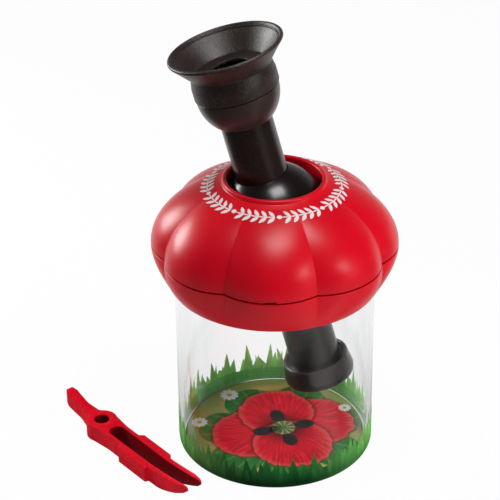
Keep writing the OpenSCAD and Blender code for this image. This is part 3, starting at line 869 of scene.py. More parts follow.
def make_floor():
    """Printed card under a clear disc whose cut edge has a painted glow."""
    sizes = bpy.context.scene.jar_sizes
    card = plate(JAR_R - sizes.wall - sizes.card_gap, CARD_LOW, CARD_TOP, FINE_EDGE)
    settled(card, "floor_picture", "jar", floor_print("floor_print"), ["floor_card"])
    disc = plate(DISC_R, DISC_LOW, DISC_TOP, sizes.disc_fillet)
    disc.data.materials.append(clear_plastic("clear_sheet", 1.05))
    disc.data.materials.append(frosted_edge_painted_glow("cut_edge_painted_glow"))
    for face in disc.data.polygons:
        if math.hypot(face.center.x, face.center.y) > DISC_R - sizes.disc_fillet:
            face.material_index = 1
    settled(disc, "clear_disc", "jar", None, ["floor_window"])


def one_blade(rows):
    """A flat blade of unit width and height, curved to a point, with its height share as its y."""
    clear_selection()
    bpy.ops.mesh.primitive_grid_add(
        x_subdivisions=4, y_subdivisions=rows, size=1, location=(0, 0.5, 0))
    blade = bpy.context.object
    place_kept()
    for vertex in blade.data.vertices:
        vertex.co.y = 1 - (1 - vertex.co.y) ** 1.25
        vertex.co.x *= 1 - 0.985 * vertex.co.y ** 1.5
    return blade


def grass_colour(turn, up, tone):
    """Colour of the print, darker at the foot and lighter towards the tips and halfway up, with painted shade on
    the front and painted light on the back.
    """
    colours = bpy.context.scene.jar_colours
    # Painted shade and light: the front colours take over towards the front, so the front is painted dark and the
    # back light.
    front = held(-0.3 - 1.35 * math.sin(turn))
    foot = Vector(colours.lit_back_foot).lerp(Vector(colours.shaded_front_foot), front)
    tip = Vector(colours.lit_back_tip).lerp(Vector(colours.shaded_front_tip), front)
    middle = math.sin(math.pi * min(1, up)) * (1 - front * 0.6)
    return foot.lerp(tip, up) * tone * (0.85 + 0.4 * middle)


def ink_of(piece):
    """The colour attribute that the print's ink reads, one value for each vertex; it holds the print's colour with
    painted light and shade.
    """
    return piece.data.color_attributes.new("ink", "FLOAT_COLOR", "POINT").data


def lay_blade(pattern, turn, radius, height, width, lean, tone):
    """A copy of the blade, bent round the jar and coloured."""
    grass = bpy.context.scene.grass_sizes
    blade = copied(pattern)
    ink = ink_of(blade)
    for vertex in blade.data.vertices:
        up = vertex.co.y
        edge = abs(vertex.co.x) / 0.5
        where = turn + (vertex.co.x * width + lean * up * up) / radius
        shade = grass_colour(where, up * 0.9 + 0.1 * edge, tone * (1 - 0.22 * edge * (1 - up)))
        ink[vertex.index].color = (*shade, 1)
        vertex.co = (radius * math.cos(where), radius * math.sin(where), grass.root + height * up)
    return modified(blade, "SOLIDIFY", thickness=bpy.context.scene.jar_sizes.ink / 2, offset=1)


def make_grass():
    """Printed grass round the foot of the jar: a closed band, fillers, tufts and straws."""
    jar = bpy.context.scene.jar_sizes
    grass = bpy.context.scene.grass_sizes
    draw = random.Random(grass.seed)
    edge = jar.foot_fillet
    near = jar.ink
    outline = arc((JAR_R - edge, edge), edge + near, -62, 0, 8)
    outline += [(JAR_R + near, jar.band), (JAR_R + near / 2, jar.band)]
    outline += arc((JAR_R - edge, edge), edge + near / 2, 0, -62, 8)
    band = turned(outline, 256)
    ink = ink_of(band)
    for vertex in band.data.vertices:
        x, y, z = vertex.co
        shade = grass_colour(math.atan2(y, x), z / jar.band * 0.2, 0.85)
        ink[vertex.index].color = (*shade, 1)
    pieces = [band]
    pattern = one_blade(grass.rows)
    full = FILM_TOP * 0.94 - grass.root

    def place(turn, layer, tall, wide, lean, tone):
        """Lays a blade in a layer of ink; its height and lean are shares of the longest and of its own."""
        back = 0.5 + 0.5 * math.sin(turn)
        beside = (1 - abs(math.sin(turn))) ** 2
        height = full * min(1, tall * (grass.front + (1 - grass.front) * back) * (1 + 0.3 * beside))
        radius = JAR_R + jar.ink * layer
        width = grass.width * wide
        pieces.append(lay_blade(pattern, turn, radius, height, width, lean * height, tone))

    for i in range(grass.fillers):
        turn = math.tau * (i + draw.uniform(-0.3, 0.3)) / grass.fillers
        place(turn, layer=1.5, tall=draw.uniform(0.42, 0.6), wide=1.25,
              lean=draw.uniform(-0.2, 0.2), tone=draw.uniform(0.75, 0.95))
    for i in range(grass.tufts):
        middle = math.tau * (i + draw.uniform(-0.16, 0.16)) / grass.tufts
        tall = draw.uniform(0.82, 1.0)
        for side, layer in ((-1, 2.3), (1, 2.3), (0, 3.1)):
            turn = middle + side * draw.uniform(0.05, 0.078)
            height = tall * (draw.uniform(0.6, 0.85) if side else 1)
            place(turn, layer, height, wide=draw.uniform(0.85, 1.15),
                  lean=side * draw.uniform(0.02, 0.2) + draw.uniform(-0.07, 0.07),
                  tone=draw.uniform(0.85, 1.2))
    for i in range(grass.straws):
        turn = math.tau * (i + draw.uniform(-0.4, 0.4)) / grass.straws
        place(turn, layer=3.9, tall=draw.uniform(0.4, 0.75), wide=draw.uniform(0.4, 0.6),
              lean=draw.uniform(-0.3, 0.3), tone=draw.uniform(0.9, 1.35))
    bpy.data.objects.remove(pattern)
    film = joined(pieces)
    settled(film, "grass_print", "jar", printed_ink("grass_ink"), ["grass_film"])


# Lid

def press_lobes(piece, depth):
    """Presses the grooves between the lobes; depth(radius, height) is a groove's full depth there."""
    lid = bpy.context.scene.lid_sizes
    pitch = math.tau / lid.lobes
    for vertex in piece.data.vertices:
        x, y, z = vertex.co
        radius = math.hypot(x, y)
        full = depth(radius, z)
        if full > 0:
            turn = math.atan2(y, x)
            off = turn - pitch * math.floor(turn / pitch + 0.5)
            kept = (radius - full * (2 * off / pitch) ** 2) / radius
            vertex.co = (x * kept, y * kept, z)
    pick(piece)
    piece.rotation_euler.z = lid.turn
    place_kept()


def lid_steps():
    """Columns of faces round the whole lid."""
    lid = bpy.context.scene.lid_sizes
    return lid.lobes * lid.lobe_steps


def skirt_radius(down):
    """Crest radius of the lower cover, at a share of the way down from the parting line."""
    lid = bpy.context.scene.lid_sizes
    return lid.skirt_r + (LID_R - lid.skirt_r) * (1 - down ** lid.skirt_power)


def make_lid_lower():
    """Lobed lower cover with the collar that grips the jar and the shelf that lies on its mouth."""
    lid = bpy.context.scene.lid_sizes
    top = lid.part - lid.part_gap / 2
    drop = top - SKIRT_LOW
    steps = 22
    outer = [(skirt_radius(i / steps), top - drop * i / steps) for i in range(steps, -1, -1)]
    collar = JAR_R + lid.collar_fit
    shelf_top = JAR_TOP + lid.shelf
    inner_steps = 4
    shelf_down = (top - shelf_top) / drop
    inner = []
    for i in range(1, inner_steps + 1):
        down = shelf_down * i / inner_steps
        inner.append((skirt_radius(down) - lid.wall, top - drop * down))
    lip_r = LID_R - lid.lip_in
    lip_wall = 0.9 * MM
    outline = rounded(
        [(*outer[0], lid.edge)] + outer[1:-1] + [
            (*outer[-1], lid.edge),
            (lip_r, top),
            (lip_r, top + lid.lip),
            (lip_r - lip_wall, top + lid.lip),
        ] + inner + [
            (lid.shelf_r, shelf_top, SOFT_EDGE),
            (lid.shelf_r, JAR_TOP, SOFT_EDGE),
            (collar, JAR_TOP),
            (collar, SKIRT_LOW + lid.collar_lift, EASED_EDGE),
        ])
    cover = turned(outline, lid_steps())
    # Painted shade: the lip that stands up in the parting line is marked, so that the gap between the covers shows
    # dark.
    dark = cover.data.attributes.new("depth", "FLOAT", "POINT")
    for vertex in cover.data.vertices:
        behind = vertex.co.xy.length < lip_r + NEAR and vertex.co.z > top - NEAR
        dark.data[vertex.index].value = float(behind)

    def depth(radius, height):
        """Depth of the lower cover's grooves: full at the parting line, none at the bottom edge."""
        if radius < lid.skirt_r - lid.wall / 2:
            return 0
        return lid.groove * held((height - SKIRT_LOW) / drop)

    press_lobes(cover, depth)
    # Painted light and shade: this copy of the red is 1.08 times lighter, and it is dark where marked.
    red = red_plastic("lid_red", 0.38, 0.000006, lighter=1.08, depth=True)
    settled(cover, "lid_lower_cover", "lid", red, ["lid_lower"], LID_SMOOTH)


def dome_outline():
    """Outline of the dome and its rim, crest to crest, outside then inside."""
    lid = bpy.context.scene.lid_sizes
    bottom = lid.part + lid.part_gap / 2
    crest = lid.hole_r + lid.rim
    foot = crest + lid.foot
    steps = 34
    rim_turn = math.acos(foot / LID_R)
    outer = []
    for i in range(1, steps + 1):
        up = rim_turn * i / steps
        outer.append((LID_R * math.cos(up), lid.part + lid.rise * math.sin(up)))
    foot_z = outer[-1][1]
    face_r = BALL_R + BALL_GAP
    face_high = BALL_CENTRE.z + math.sqrt(face_r ** 2 - lid.hole_r ** 2)
    face_low = BALL_CENTRE.z + math.sqrt(face_r ** 2 - crest ** 2)
    inner_r = LID_R - lid.wall
    inner_turn = math.acos(foot / inner_r)
    inner_steps = 14
    lip_room = 0.3 * MM
    recess = lid.part + lid.lip + lip_room
    recess_r = LID_R - lid.lip_in + lip_room
    inner = []
    for i in range(inner_steps, 1, -1):
        up = inner_turn * i / inner_steps
        height = lid.part + (lid.rise - lid.wall) * math.sin(up)
        inner.append((inner_r * math.cos(up), max(recess, height)))
    slope = 0.35 * MM
    step_up = 1.0 * MM
    foot_edge = 1.2 * MM
    rim_edge = 0.8 * MM
    return rounded(
        [(LID_R, bottom, lid.edge)] + outer[:-1] + [
            (foot, foot_z, foot_edge),
            (crest + slope, foot_z + step_up, rim_edge),
            (crest, RIM_TOP, rim_edge),
            (lid.hole_r, RIM_TOP, rim_edge),
            (lid.hole_r, face_high, SMALL_EDGE),
            (crest, face_low, SMALL_EDGE),
            (crest + lid.foot / 2, face_low),
        ] + inner + [
            (recess_r, recess),
            (recess_r, bottom),
        ])


def dome_groove(radius, height):
    """Depth of the dome's grooves: full at the parting line, none near the rim."""
    lid = bpy.context.scene.lid_sizes
    if radius < lid.hole_r + lid.rim + lid.foot:
        return 0
    up = max(0, height - lid.part) / (lid.rise * lid.groove_end)
    return lid.groove * math.sqrt(max(0, 1 - up * up))


def make_lid_upper():
    """Lobed dome with a rounded rim round the ball's hole, screw bosses inside and a pry notch in front."""
    lid = bpy.context.scene.lid_sizes
    dome = turned(dome_outline(), lid_steps())
    press_lobes(dome, dome_groove)
    bottom = lid.part + lid.part_gap / 2
    for vertex in dome.data.vertices:
        x, y, z = vertex.co
        if y < 0 and abs(x - lid.pry_at) < lid.pry_width / 2 and z < bottom + lid.edge:
            vertex.co.z += lid.pry_height
    boss_top = lid.part + lid.boss_reach * lid.rise
    outline = rounded([
        (lid.boss_bore, BOSS_LOW),
        (lid.boss_r, BOSS_LOW, EASED_EDGE),
        (lid.boss_r, boss_top),
        (lid.boss_bore, boss_top),
    ])
    bosses = []
    for i in range(lid.screws):
        turn = lid.turn + math.tau / lid.lobes + i * math.tau / lid.screws
        boss = turned(outline, 32)
        boss.location = (lid.screw_ring * math.cos(turn), lid.screw_ring * math.sin(turn), 0)
        place_kept()
        bosses.append(boss)
    dome = joined([dome] + bosses)
    red = red_plastic("dome_red", 0.335, 0.000006)
    settled(dome, "lid_dome", "lid", red, ["lid_upper"], LID_SMOOTH)


def add_leaf(ring, turn, out, long, wide, lean):
    """A printed leaf or dot on the dome: its middle at a turn and a distance from the ring's line."""
    lid = bpy.context.scene.lid_sizes
    clear_selection()
    bpy.ops.mesh.primitive_grid_add(x_subdivisions=4, y_subdivisions=10, size=1)
    mark = bpy.context.object
    for vertex in mark.data.vertices:
        y = vertex.co.y * 2
        side = vertex.co.x * wide * (1 - abs(y) ** 1.7) ** 0.8
        up = y * long / 2
        radius = ring + out + side * math.sin(lean) + up * math.cos(lean)
        where = turn + (side * math.cos(lean) - up * math.sin(lean)) / ring
        height = lid.part + lid.rise * math.sqrt(1 - (radius / LID_R) ** 2)
        vertex.co = (radius * math.cos(where), radius * math.sin(where), height + lid.mark_ink / 2)
    return mark


def make_lid_marks():
    """White printed garland round the hole: sprigs of paired leaves on a stem, a berry after each."""
    lid = bpy.context.scene.lid_sizes
    long, wide = lid.mark_length, lid.mark_width
    ring = lid.hole_r + lid.rim + lid.foot + lid.mark_gap + long * math.cos(lid.mark_lean)
    places = lid.sprig_pairs + 1
    pitch = math.tau / (lid.sprigs * places)
    away = long / 2 * math.cos(lid.mark_lean)
    pieces = []
    for i in range(lid.sprigs):
        for k in range(lid.sprig_pairs):
            turn = (i * places + k) * pitch
            for side in (-1, 1):
                lean = lid.mark_lean if side > 0 else math.pi - lid.mark_lean
                pieces.append(add_leaf(ring, turn, side * away, long, wide, lean))
            stem = add_leaf(ring, turn - 0.2 * pitch, 0, pitch * ring * 1.2, wide * 0.36, math.pi / 2)
            pieces.append(stem)
        berry = (i * places + lid.sprig_pairs) * pitch
        pieces.append(add_leaf(ring, berry, 0, wide * 1.3, wide * 1.5, 0))
    marks = joined(pieces)
    bpy.ops.object.mode_set(mode="EDIT")
    select_mesh()
    bpy.ops.mesh.remove_doubles(threshold=SAME_CUT)
    bpy.ops.mesh.dissolve_degenerate(threshold=SAME_CUT)
    bpy.ops.mesh.normals_make_consistent(inside=False)
    bpy.ops.object.mode_set(mode="OBJECT")
    modified(marks, "SOLIDIFY", thickness=lid.mark_ink, offset=1)
    settled(marks, "leaf_marks", "lid", white_ink("white_ink"))


# Ball and viewer

def make_ball():
    """Two halves of the hollow ball, with the sleeve that the tube slides in."""
    sizes = bpy.context.scene.viewer_sizes
    inner = BALL_R - sizes.ball_wall
    sleeve = sizes.bore + sizes.sleeve
    ease = 0.3 * MM
    mouth = math.acos((sizes.bore + ease) / BALL_R)
    mouth_up = BALL_R * math.sin(mouth) - ease
    sleeve_turn = math.degrees(math.acos(sleeve / inner))
    lap = 1.2 * MM
    seam = BALL_R - sizes.ball_wall / 2
    seam_turn = math.degrees(math.asin((lap + FIT) / inner))
    gloss = moulded_plastic("ball_black", bpy.context.scene.jar_colours.black, 0.22, 0.000003)
    upper_lap = [(inner, -lap), (seam - FIT, -lap), (seam - FIT, 0)]
    lower_lap = [(seam, -lap - FIT), (seam, 0)]
    for node, side, last, lap_points in (
        ("ball_upper", 1, 0, upper_lap),
        ("ball_lower", -1, -seam_turn, lower_lap),
    ):
        outline = arc((0, 0), BALL_R, 0, side * math.degrees(mouth), 40)
        outline += [(sizes.bore, side * mouth_up), (sizes.bore, 0), (sleeve, 0)]
        outline += arc((0, 0), inner, side * sleeve_turn, last, 20) + lap_points
        half = along_viewer(turned(outline, VIEWER_STEPS))
        settled(half, node + "_half", "ball", gloss, [node])


def viewer_piece(outline, name, node, material, steps=VIEWER_STEPS, smooth=SMOOTH):
    """A turned piece of the viewer, at its place."""
    settled(along_viewer(turned(outline, steps)), name, "viewer", material, [node], smooth)


def make_tube():
    """Tube of the viewer with eased ends."""
    sizes = bpy.context.scene.viewer_sizes
    inner = TUBE_R - sizes.tube_wall
    outline = rounded([
        (inner, TUBE_LOW, EASED_EDGE),
        (TUBE_R, TUBE_LOW, EASED_EDGE),
        (TUBE_R, TUBE_TOP, EASED_EDGE),
        (inner, TUBE_TOP, EASED_EDGE),
    ])
    satin = satin_plastic("tube_satin", 0.26, 0.00001, gloss=0.42)
    viewer_piece(outline, "viewer_tube", "barrel_tube", satin)


def make_cap():
    """Cap on the tube's lower end, with a deep groove inside its lip."""
    sizes = bpy.context.scene.viewer_sizes
    lip_r = CAP_R - sizes.cap_lip_in
    lip_top = CAP_TOP - sizes.cap_low
    lip_edge = 0.65 * MM
    foot_in = 0.5 * MM
    foot_edge = 2 * MM
    groove_r = lip_r - sizes.cap_lip
    groove_low = CAP_TOP - sizes.cap_groove
    collar_r = sizes.bore + sizes.cap_collar
    collar_top = CAP_TOP - sizes.cap_groove / 2.5
    collar_edge = 0.35 * MM
    lens_low = TUBE_LOW - sizes.lens_room
    outline = rounded([
        (sizes.cap_window, CAP_LOW, EASED_EDGE),
        (CAP_R - foot_in, CAP_LOW, sizes.cap_edge),
        (CAP_R, CAP_LOW + sizes.cap_edge * 1.5, foot_edge),
        (lip_r + NEAR, lip_top, lip_edge),
        (groove_r, lip_top, lip_edge),
        (groove_r, groove_low, SOFT_EDGE),
        (collar_r, groove_low, SMALL_EDGE),
        (collar_r, collar_top, collar_edge),
        (sizes.bore, collar_top, EASED_EDGE),
        (sizes.bore, lens_low),
        (sizes.cap_window, lens_low),
    ], 7)
    # Painted light: this copy of the satin black is 1.5 times lighter, to stand in for the light on the cap.
    satin = satin_plastic("cap_satin", 0.13, 0.000006, lighter=1.5, gloss=0.42)
    viewer_piece(outline, "viewer_cap", "objective_cap", satin)


def make_bowl():
    """Ball-shaped eyepiece body: a socket for the tube below and a pocket for the lens above."""
    sizes = bpy.context.scene.viewer_sizes
    centre = sizes.bowl_up
    foot_turn = -math.degrees(math.acos((sizes.bore + sizes.foot) / BOWL_R))
    neck = BOWL_R - sizes.skirt
    pocket = neck - sizes.pocket_wall
    seat = BOWL_TOP - sizes.pocket
    shelf = TUBE_TOP + sizes.bowl_floor
    well = pocket - sizes.ledge
    low = TUBE_R - sizes.tube_wall + sizes.tube_room
    outline = [(sizes.bore, centre + BOWL_R * math.sin(math.radians(foot_turn)))]
    ease = 0.25 * MM
    edge = centre + sizes.seam_up
    edge_turn = math.degrees(math.asin((sizes.seam_up - ease) / BOWL_R))
    outline += arc((0, centre), BOWL_R, foot_turn, edge_turn, 36)
    outline += arc((BOWL_R - ease, edge - ease), ease, 15, 90, 5)
    outline += [(neck, edge), (neck, BOWL_TOP), (pocket, BOWL_TOP), (pocket, seat), (well, seat)]
    outline += [(well, shelf), (low, shelf), (low, TUBE_TOP), (sizes.bore, TUBE_TOP)]
    # Painted light: this copy of the satin black is 2.5 times lighter, to stand in for the light on the bowl.
    satin = satin_plastic("bowl_satin", 0.32, 0.000008, lighter=2.5, gloss=0.45)
    viewer_piece(outline, "eyepiece_body", "eyepiece_bowl", satin)


def make_sight_ring():
    """Ring at the bottom of the eyecup that leaves the sight hole."""
    sizes = bpy.context.scene.viewer_sizes
    under = SIGHT_TOP - sizes.sight_thick
    inner = SIGHT_R - sizes.sight_skirt
    outline = rounded([
        (SIGHT_R, SIGHT_LOW),
        (SIGHT_R, SIGHT_TOP, 0.15 * MM),
        (sizes.sight_r, SIGHT_TOP, 0.35 * MM),
        (sizes.sight_r, under, SMALL_EDGE),
        (inner, under),
        (inner, SIGHT_LOW),
    ])
    matt = moulded_plastic("ring_matt", bpy.context.scene.jar_colours.rubber, 0.5, 0.00002)
    viewer_piece(outline, "sight_hole_ring", "sight_ring", matt, TURN_STEPS)


def make_eyecup():
    """Soft eyecup: a skirt over the bowl's neck, a waist, a wide flare and a beaded rim."""
    sizes = bpy.context.scene.viewer_sizes
    skirt_in = BOWL_R - sizes.skirt + FIT
    waist = BOWL_R - sizes.waist_in
    low = sizes.bowl_up + sizes.seam_up + sizes.seam
    waist_z = low + sizes.waist_up
    lip = sizes.lip
    rim_r = CUP_R + sizes.rim_out
    rim_top = CUP_TOP + sizes.rim_out
    floor_z = BOWL_TOP + FIT
    bead = lip * 0.6
    outline = rounded([
        (skirt_in, low, FINE_EDGE),
        (BOWL_R + sizes.swell, low, 0.45 * MM),
        (BOWL_R + sizes.swell, (low + waist_z) / 2, 6 * MM),
        (waist, waist_z - 0.5 * MM, 1.2 * MM),
        (rim_r - 1.25 * lip, rim_top - 2.2 * lip, 0.8 * MM),
        (rim_r - 0.5 * lip, rim_top - 1.25 * lip),
    ], 7)[:-1]
    outline += arc((rim_r - bead, rim_top - bead), bead, -50, 160, 14)
    outline += rounded([
        (rim_r - 2.15 * bead, rim_top - 0.6 * lip, 0.15 * MM),
        (rim_r - 2.9 * bead, rim_top - 0.7 * lip, 0.25 * MM),
        (rim_r - 3.1 * bead, rim_top - 1.15 * lip, EASED_EDGE),
        (sizes.floor_r + 0.5 * MM, floor_z + 0.65 * MM, SOFT_EDGE),
        (sizes.floor_r, floor_z, FINE_EDGE),
        (skirt_in, floor_z, FINE_EDGE),
    ], 5)
    rubber = soft_rubber("soft_rubber")
    viewer_piece(outline, "soft_eyecup", "eyecup", rubber, 192, math.radians(40))


def paint_inner_nodes():
    """Gives the hidden fittings that stay as they are their materials."""
    colours = bpy.context.scene.jar_colours
    seat = moulded_plastic("seat_satin", colours.satin, 0.45, 0.00001)
    seal = moulded_plastic("seal_rubber", colours.rubber, 0.6, 0.00001)
    steel = bright_steel("screw_steel")
    glass = lens_glass("lens_glass")
    looks = {
        "ball_seat": seat,
        "light_stop": seat,
        "friction_ring": seal,
        "lid_screws": steel,
        "objective_lens": glass,
        "eye_lens": glass,
    }
    for node, material in looks.items():
        mesh = frame["nodes"][node].data
        mesh.materials.clear()
        mesh.materials.append(material)


# Tweezers

def tweezers_plan():
    """Half of the tweezers' plan, on the right of their middle line, round the hole and the slot."""
    t = bpy.context.scene.tweezers_sizes
    out = t.slot_r + t.arm
    slot_middle = t.slot_start + t.slot_r
    tip_in = 3.4 * MM
    tip_w = 0.9 * MM
    taper = 6.6 * MM
    tail_end_w = 1.8 * MM
    knob, knob_w = 2.6 * MM, 2.7 * MM
    neck, neck_w = 14 * MM, 2.2 * MM
    root, root_w = 0.6 * MM, 3.5 * MM
    knob_edge = root_edge = 1.5 * MM
    pad_edge = 0.8 * MM
    corners = [
        (-t.tail, 0),
        (-t.tail, tail_end_w, EASED_EDGE),
        (-t.tail + knob, knob_w, knob_edge),
        (-neck, neck_w, 4 * MM),
        (-t.tail_from - root, root_w, root_edge),
    ]
    corners += arc((0, 0), t.boss_r, 140, 68, 12)
    corners += [
        (t.slot_start + 4 * MM, out - t.waist, 5 * MM),
        (t.pad_start - t.pad_step, out - t.waist, pad_edge),
        (t.pad_start + t.pad_step / 2, out + t.pad_out, pad_edge),
        (t.pad_end - t.pad_step / 2, out + t.pad_out, 0.5 * MM),
        (t.pad_end, out - t.pad_step / 2, 0.5 * MM),
        (t.reach - taper, tip_in + t.arm * 0.9, 6 * MM),
        (t.reach, tip_in + tip_w, 0.8 * MM),
        (t.reach, tip_in, SMALL_EDGE),
        (t.reach - taper, tip_in, 4 * MM),
        (ROOTS.length, t.slot_r),
    ]
    corners += arc((slot_middle, 0), t.slot_r, 90, 180, 12)
    corners += arc((0, 0), t.hole_r, 0, 180, 24)
    return rounded(corners, 5)


def bend_up(place, start, end, rise, power):
    """Rise of a curve that starts flat and ends at its full rise."""
    along = (place - start) / (end - start)
    return rise * max(0, along) ** power


def cut_at(place, normal, **settings):
    """Cuts the mesh in edit mode along a plane."""
    select_mesh()
    bpy.ops.mesh.bisect(plane_co=place, plane_no=normal, threshold=SAME_CUT, **settings)


def make_tweezers():
    """Tweezers with a lifted tail and lifted tips, cut at the arms' roots into the eye with its tail and the two
    arms.
    """
    t = bpy.context.scene.tweezers_sizes
    half = drawn(tweezers_plan(), "XY")
    bpy.ops.mesh.edge_face_add()
    bpy.ops.mesh.extrude_region_move(TRANSFORM_OT_translate={"value": (0, 0, t.thick)})
    for height in (0.5, 0.9):
        cut_at((0, 0, t.thick * height), UP)
    tail_cuts, tip_cuts = 8, 9
    root_reach = 2 * MM
    last_cut = 0.7 * MM
    stations = [-t.tail + (t.tail - t.tail_from) * i / tail_cuts for i in range(1, tail_cuts + 1)]
    stations += [t.slot_start, ROOTS.length - root_reach, ROOTS.length + root_reach]
    stations += [t.pad_start, t.over_from]
    stations += [t.under_from + (t.reach - t.under_from) * i / tip_cuts for i in range(tip_cuts)]
    stations += [t.reach - 2 * last_cut, t.reach - last_cut]
    for place in stations:
        cut_at((place, 0, 0), ACROSS)
    bpy.ops.object.mode_set(mode="OBJECT")
    place_kept()
    tip_run = 9 * MM
    blunt_run, blunt_drop = 2 * MM, 0.8 * MM
    thin_run = 3 * MM
    # Painted shade: the walls of the hole and of the slot, below their top edge, are marked, so that they show
    # dark as if in shade between the arms.
    depth = half.data.attributes.new("depth", "FLOAT", "POINT")
    for vertex in half.data.vertices:
        u, v, z = vertex.co
        by_slot = v < t.slot_r + NEAR
        inside = math.hypot(u, v) < t.hole_r + NEAR or (u > t.slot_start - NEAR and by_slot)
        depth.data[vertex.index].value = float(inside and z < t.thick * 0.95)
        if u > t.slot_start and by_slot:
            out = held((u - t.draft_end) / (t.reach - tip_run - t.draft_end))
            draft = t.draft * (1 - 0.85 * out)
            vertex.co.y = v * (1 - draft / t.slot_r * (1 - z / t.thick))
        tail = bend_up(u, -t.tail_from, -t.tail, t.tail_lift, t.bend_power) if u < 0 else 0
        under = bend_up(u, t.under_from, t.reach, t.thick + t.tip_lift - t.tip, t.bend_power)
        over = bend_up(u, t.over_from, t.reach, t.tip_lift, t.bend_power)
        blunt = held((u - t.reach) / blunt_run + 1) ** 2 * blunt_drop
        thin = t.tail_thin * held((-u - t.tail_from) / thin_run)
        under, over = under + blunt + thin, over - blunt
        vertex.co.z = tail + under + z / t.thick * (t.thick + over - under)
    bpy.ops.object.mode_set(mode="EDIT")
    face_outwards()
    bpy.ops.mesh.select_all(action="DESELECT")
    bpy.ops.object.mode_set(mode="OBJECT")
    for face in half.data.polygons:
        face.select = all(abs(half.data.vertices[i].co.y) < SAME_CUT for i in face.vertices)
    bpy.ops.object.mode_set(mode="EDIT")
    bpy.ops.mesh.delete(type="FACE")
    bpy.ops.object.mode_set(mode="OBJECT")
    modified(half, "MIRROR", use_axis=(False, True, False), merge_threshold=SAME_CUT)
    sharp = math.radians(38)
    modified(half, "BEVEL", width=t.edge, segments=2, limit_method="ANGLE", angle_limit=sharp)
    pick(half)
    half.matrix_world = Matrix.Translation((EYE.x, EYE.y, 0)) @ Matrix.Rotation(TWEEZERS_TURN, 4, "Z")
    place_kept()
    # Painted light and shade: this copy of the red is 1.38 times lighter, and it is dark inside the hole and the
    # slot.
    red = red_plastic(
        "tweezers_red", 0.46, 0.00012, lighter=1.38, tone=0.3, gloss=0.13, fineness=700, depth=True)
    along = ROOTS.normalized()
    across = Vector((-along.y, along.x, 0))
    split = EYE + along * (ROOTS.length - root_reach)
    parts = {
        "tweezers_eye_and_tail": (((split, -along),), "tweezers_body", None),
        "tweezers_left_arm": (((split, along), (EYE, -across)), "arm_left", "arm_left"),
        "tweezers_right_arm": (((split, along), (EYE, across)), "arm_right", "arm_right"),
    }
    for name, (planes, node, arm) in parts.items():
        part = pick(copied(half))
        bpy.ops.object.mode_set(mode="EDIT")
        for place, normal in planes:
            cut_at(place, normal, clear_inner=True, use_fill=True)
        face_outwards()
        bpy.ops.object.mode_set(mode="OBJECT")
        settled(part, name, None if arm else "tweezers", red, [node])
        if arm:
            split + along * MM
            split + along * 7 * MM
            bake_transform(part)
    bpy.data.objects.remove(half)


# Stage

def toward(turn, rise):
    """A direction from the object: its turn from the camera to the right and its rise, in degrees."""
    turn, rise = math.radians(turn), math.radians(rise)
    return Vector((math.sin(turn) * math.cos(rise), -math.cos(turn) * math.cos(rise), math.sin(rise)))


def add_lamp(name, power, turn, rise, away, size, mirrored=True):
    """A soft lamp that faces the lid; one that isn't mirrored leaves no highlight."""
    aim = Vector((0, 0, LIP_TOP))
    lamp = bpy.data.lights.new(name, "AREA")
    lamp.shape = "RECTANGLE"
    lamp.size, lamp.size_y = size
    lamp.energy = power
    holder = added(name, lamp)
    holder.location = aim + toward(turn, rise) * away
    holder.rotation_euler = (-toward(turn, rise)).to_track_quat("-Z", "Y").to_euler()
    holder.visible_camera = False
    holder.visible_transmission = mirrored
    holder.visible_glossy = mirrored


def seen_rays(paint, hidden=0.0):
    """Masks of the rays that the eye sees, also through clear plastic, and of those mirrored once."""
    fresh = (1 - paint.ray("Diffuse Depth")).maths("MAXIMUM", 0.0)
    unturned = (1 - paint.ray("Glossy Depth") * 0.15).maths("MAXIMUM", 0.0)
    through = paint.ray("Is Camera Ray") + paint.ray("Is Transmission Ray") * unturned
    seen = through.maths("MINIMUM", 1.0) * fresh * (1 - hidden)
    return seen, paint.ray("Is Glossy Ray") * fresh * (1 - seen)


def make_floor_plane():
    """Pale floor, plain white to the eye, that keeps a soft shadow."""
    stage = bpy.context.scene.stage_settings
    clear_selection()
    bpy.ops.mesh.primitive_plane_add(size=stage.floor_size)
    floor = bpy.context.object
    floor.name = "floor"
    paint = Paint("floor_white")
    grain = paint.noise(4, 2)
    x, y, _ = paint.axes()
    before = y * -1
    near = before.step(0.0, 0.04) * (1 - before.step(0.122, 0.155))
    turned_back = paint.ray("Glossy Depth").maths("MINIMUM", 1.0)
    seen, mirrored = seen_rays(paint, turned_back * near)
    grey, paler = (0.9, 0.9, 0.9), (0.94, 0.94, 0.94)
    shade = paint.mix(seen, paint.mix(grain, grey, paler), grey)
    dull = paint.node("ShaderNodeBsdfDiffuse", None, {"Color": shade})
    side = x.maths("ARCTAN2", before)
    streak = side.step(0.5, 0.8) * (1 - side.step(0.85, 1.15)) * stage.streak
    back = (y - x.maths("ABSOLUTE") * 0.5).step(-0.05, 0.06)
    behind = back * (1 - stage.mirrored) + stage.mirrored + streak
    strength = seen + (1 - seen) * behind
    white = paint.node("ShaderNodeEmission", None, {"Color": (1.0, 1.0, 1.0), "Strength": strength})
    plain = (seen + mirrored).maths("MINIMUM", 1.0) * stage.white
    look = paint.node("ShaderNodeMixShader", None, [plain, dull, white])
    floor.data.materials.append(paint.ended(look))


def make_surroundings():
    """White surroundings to the eye, dim overhead and in front, brighter behind near the horizon."""
    stage = bpy.context.scene.stage_settings
    world = bpy.data.worlds.new("surroundings")
    bpy.context.scene.world = world
    paint = Paint.of_world(world)
    _, y, z = paint.axes(paint.node("ShaderNodeTexCoord", None, (), "Generated"))
    behind = y.step(0.2, 0.9) * (1 - z.step(0.1, 0.8))
    seen, mirrored = seen_rays(paint)
    strength = stage.world * (1 - mirrored * 0.5) + mirrored * behind * stage.behind + seen
    sky = paint.node("ShaderNodeBackground", None, {"Color": (1.0, 1.0, 1.0), "Strength": strength})
    paint.node("ShaderNodeOutputWorld", None, {"Surface": sky})


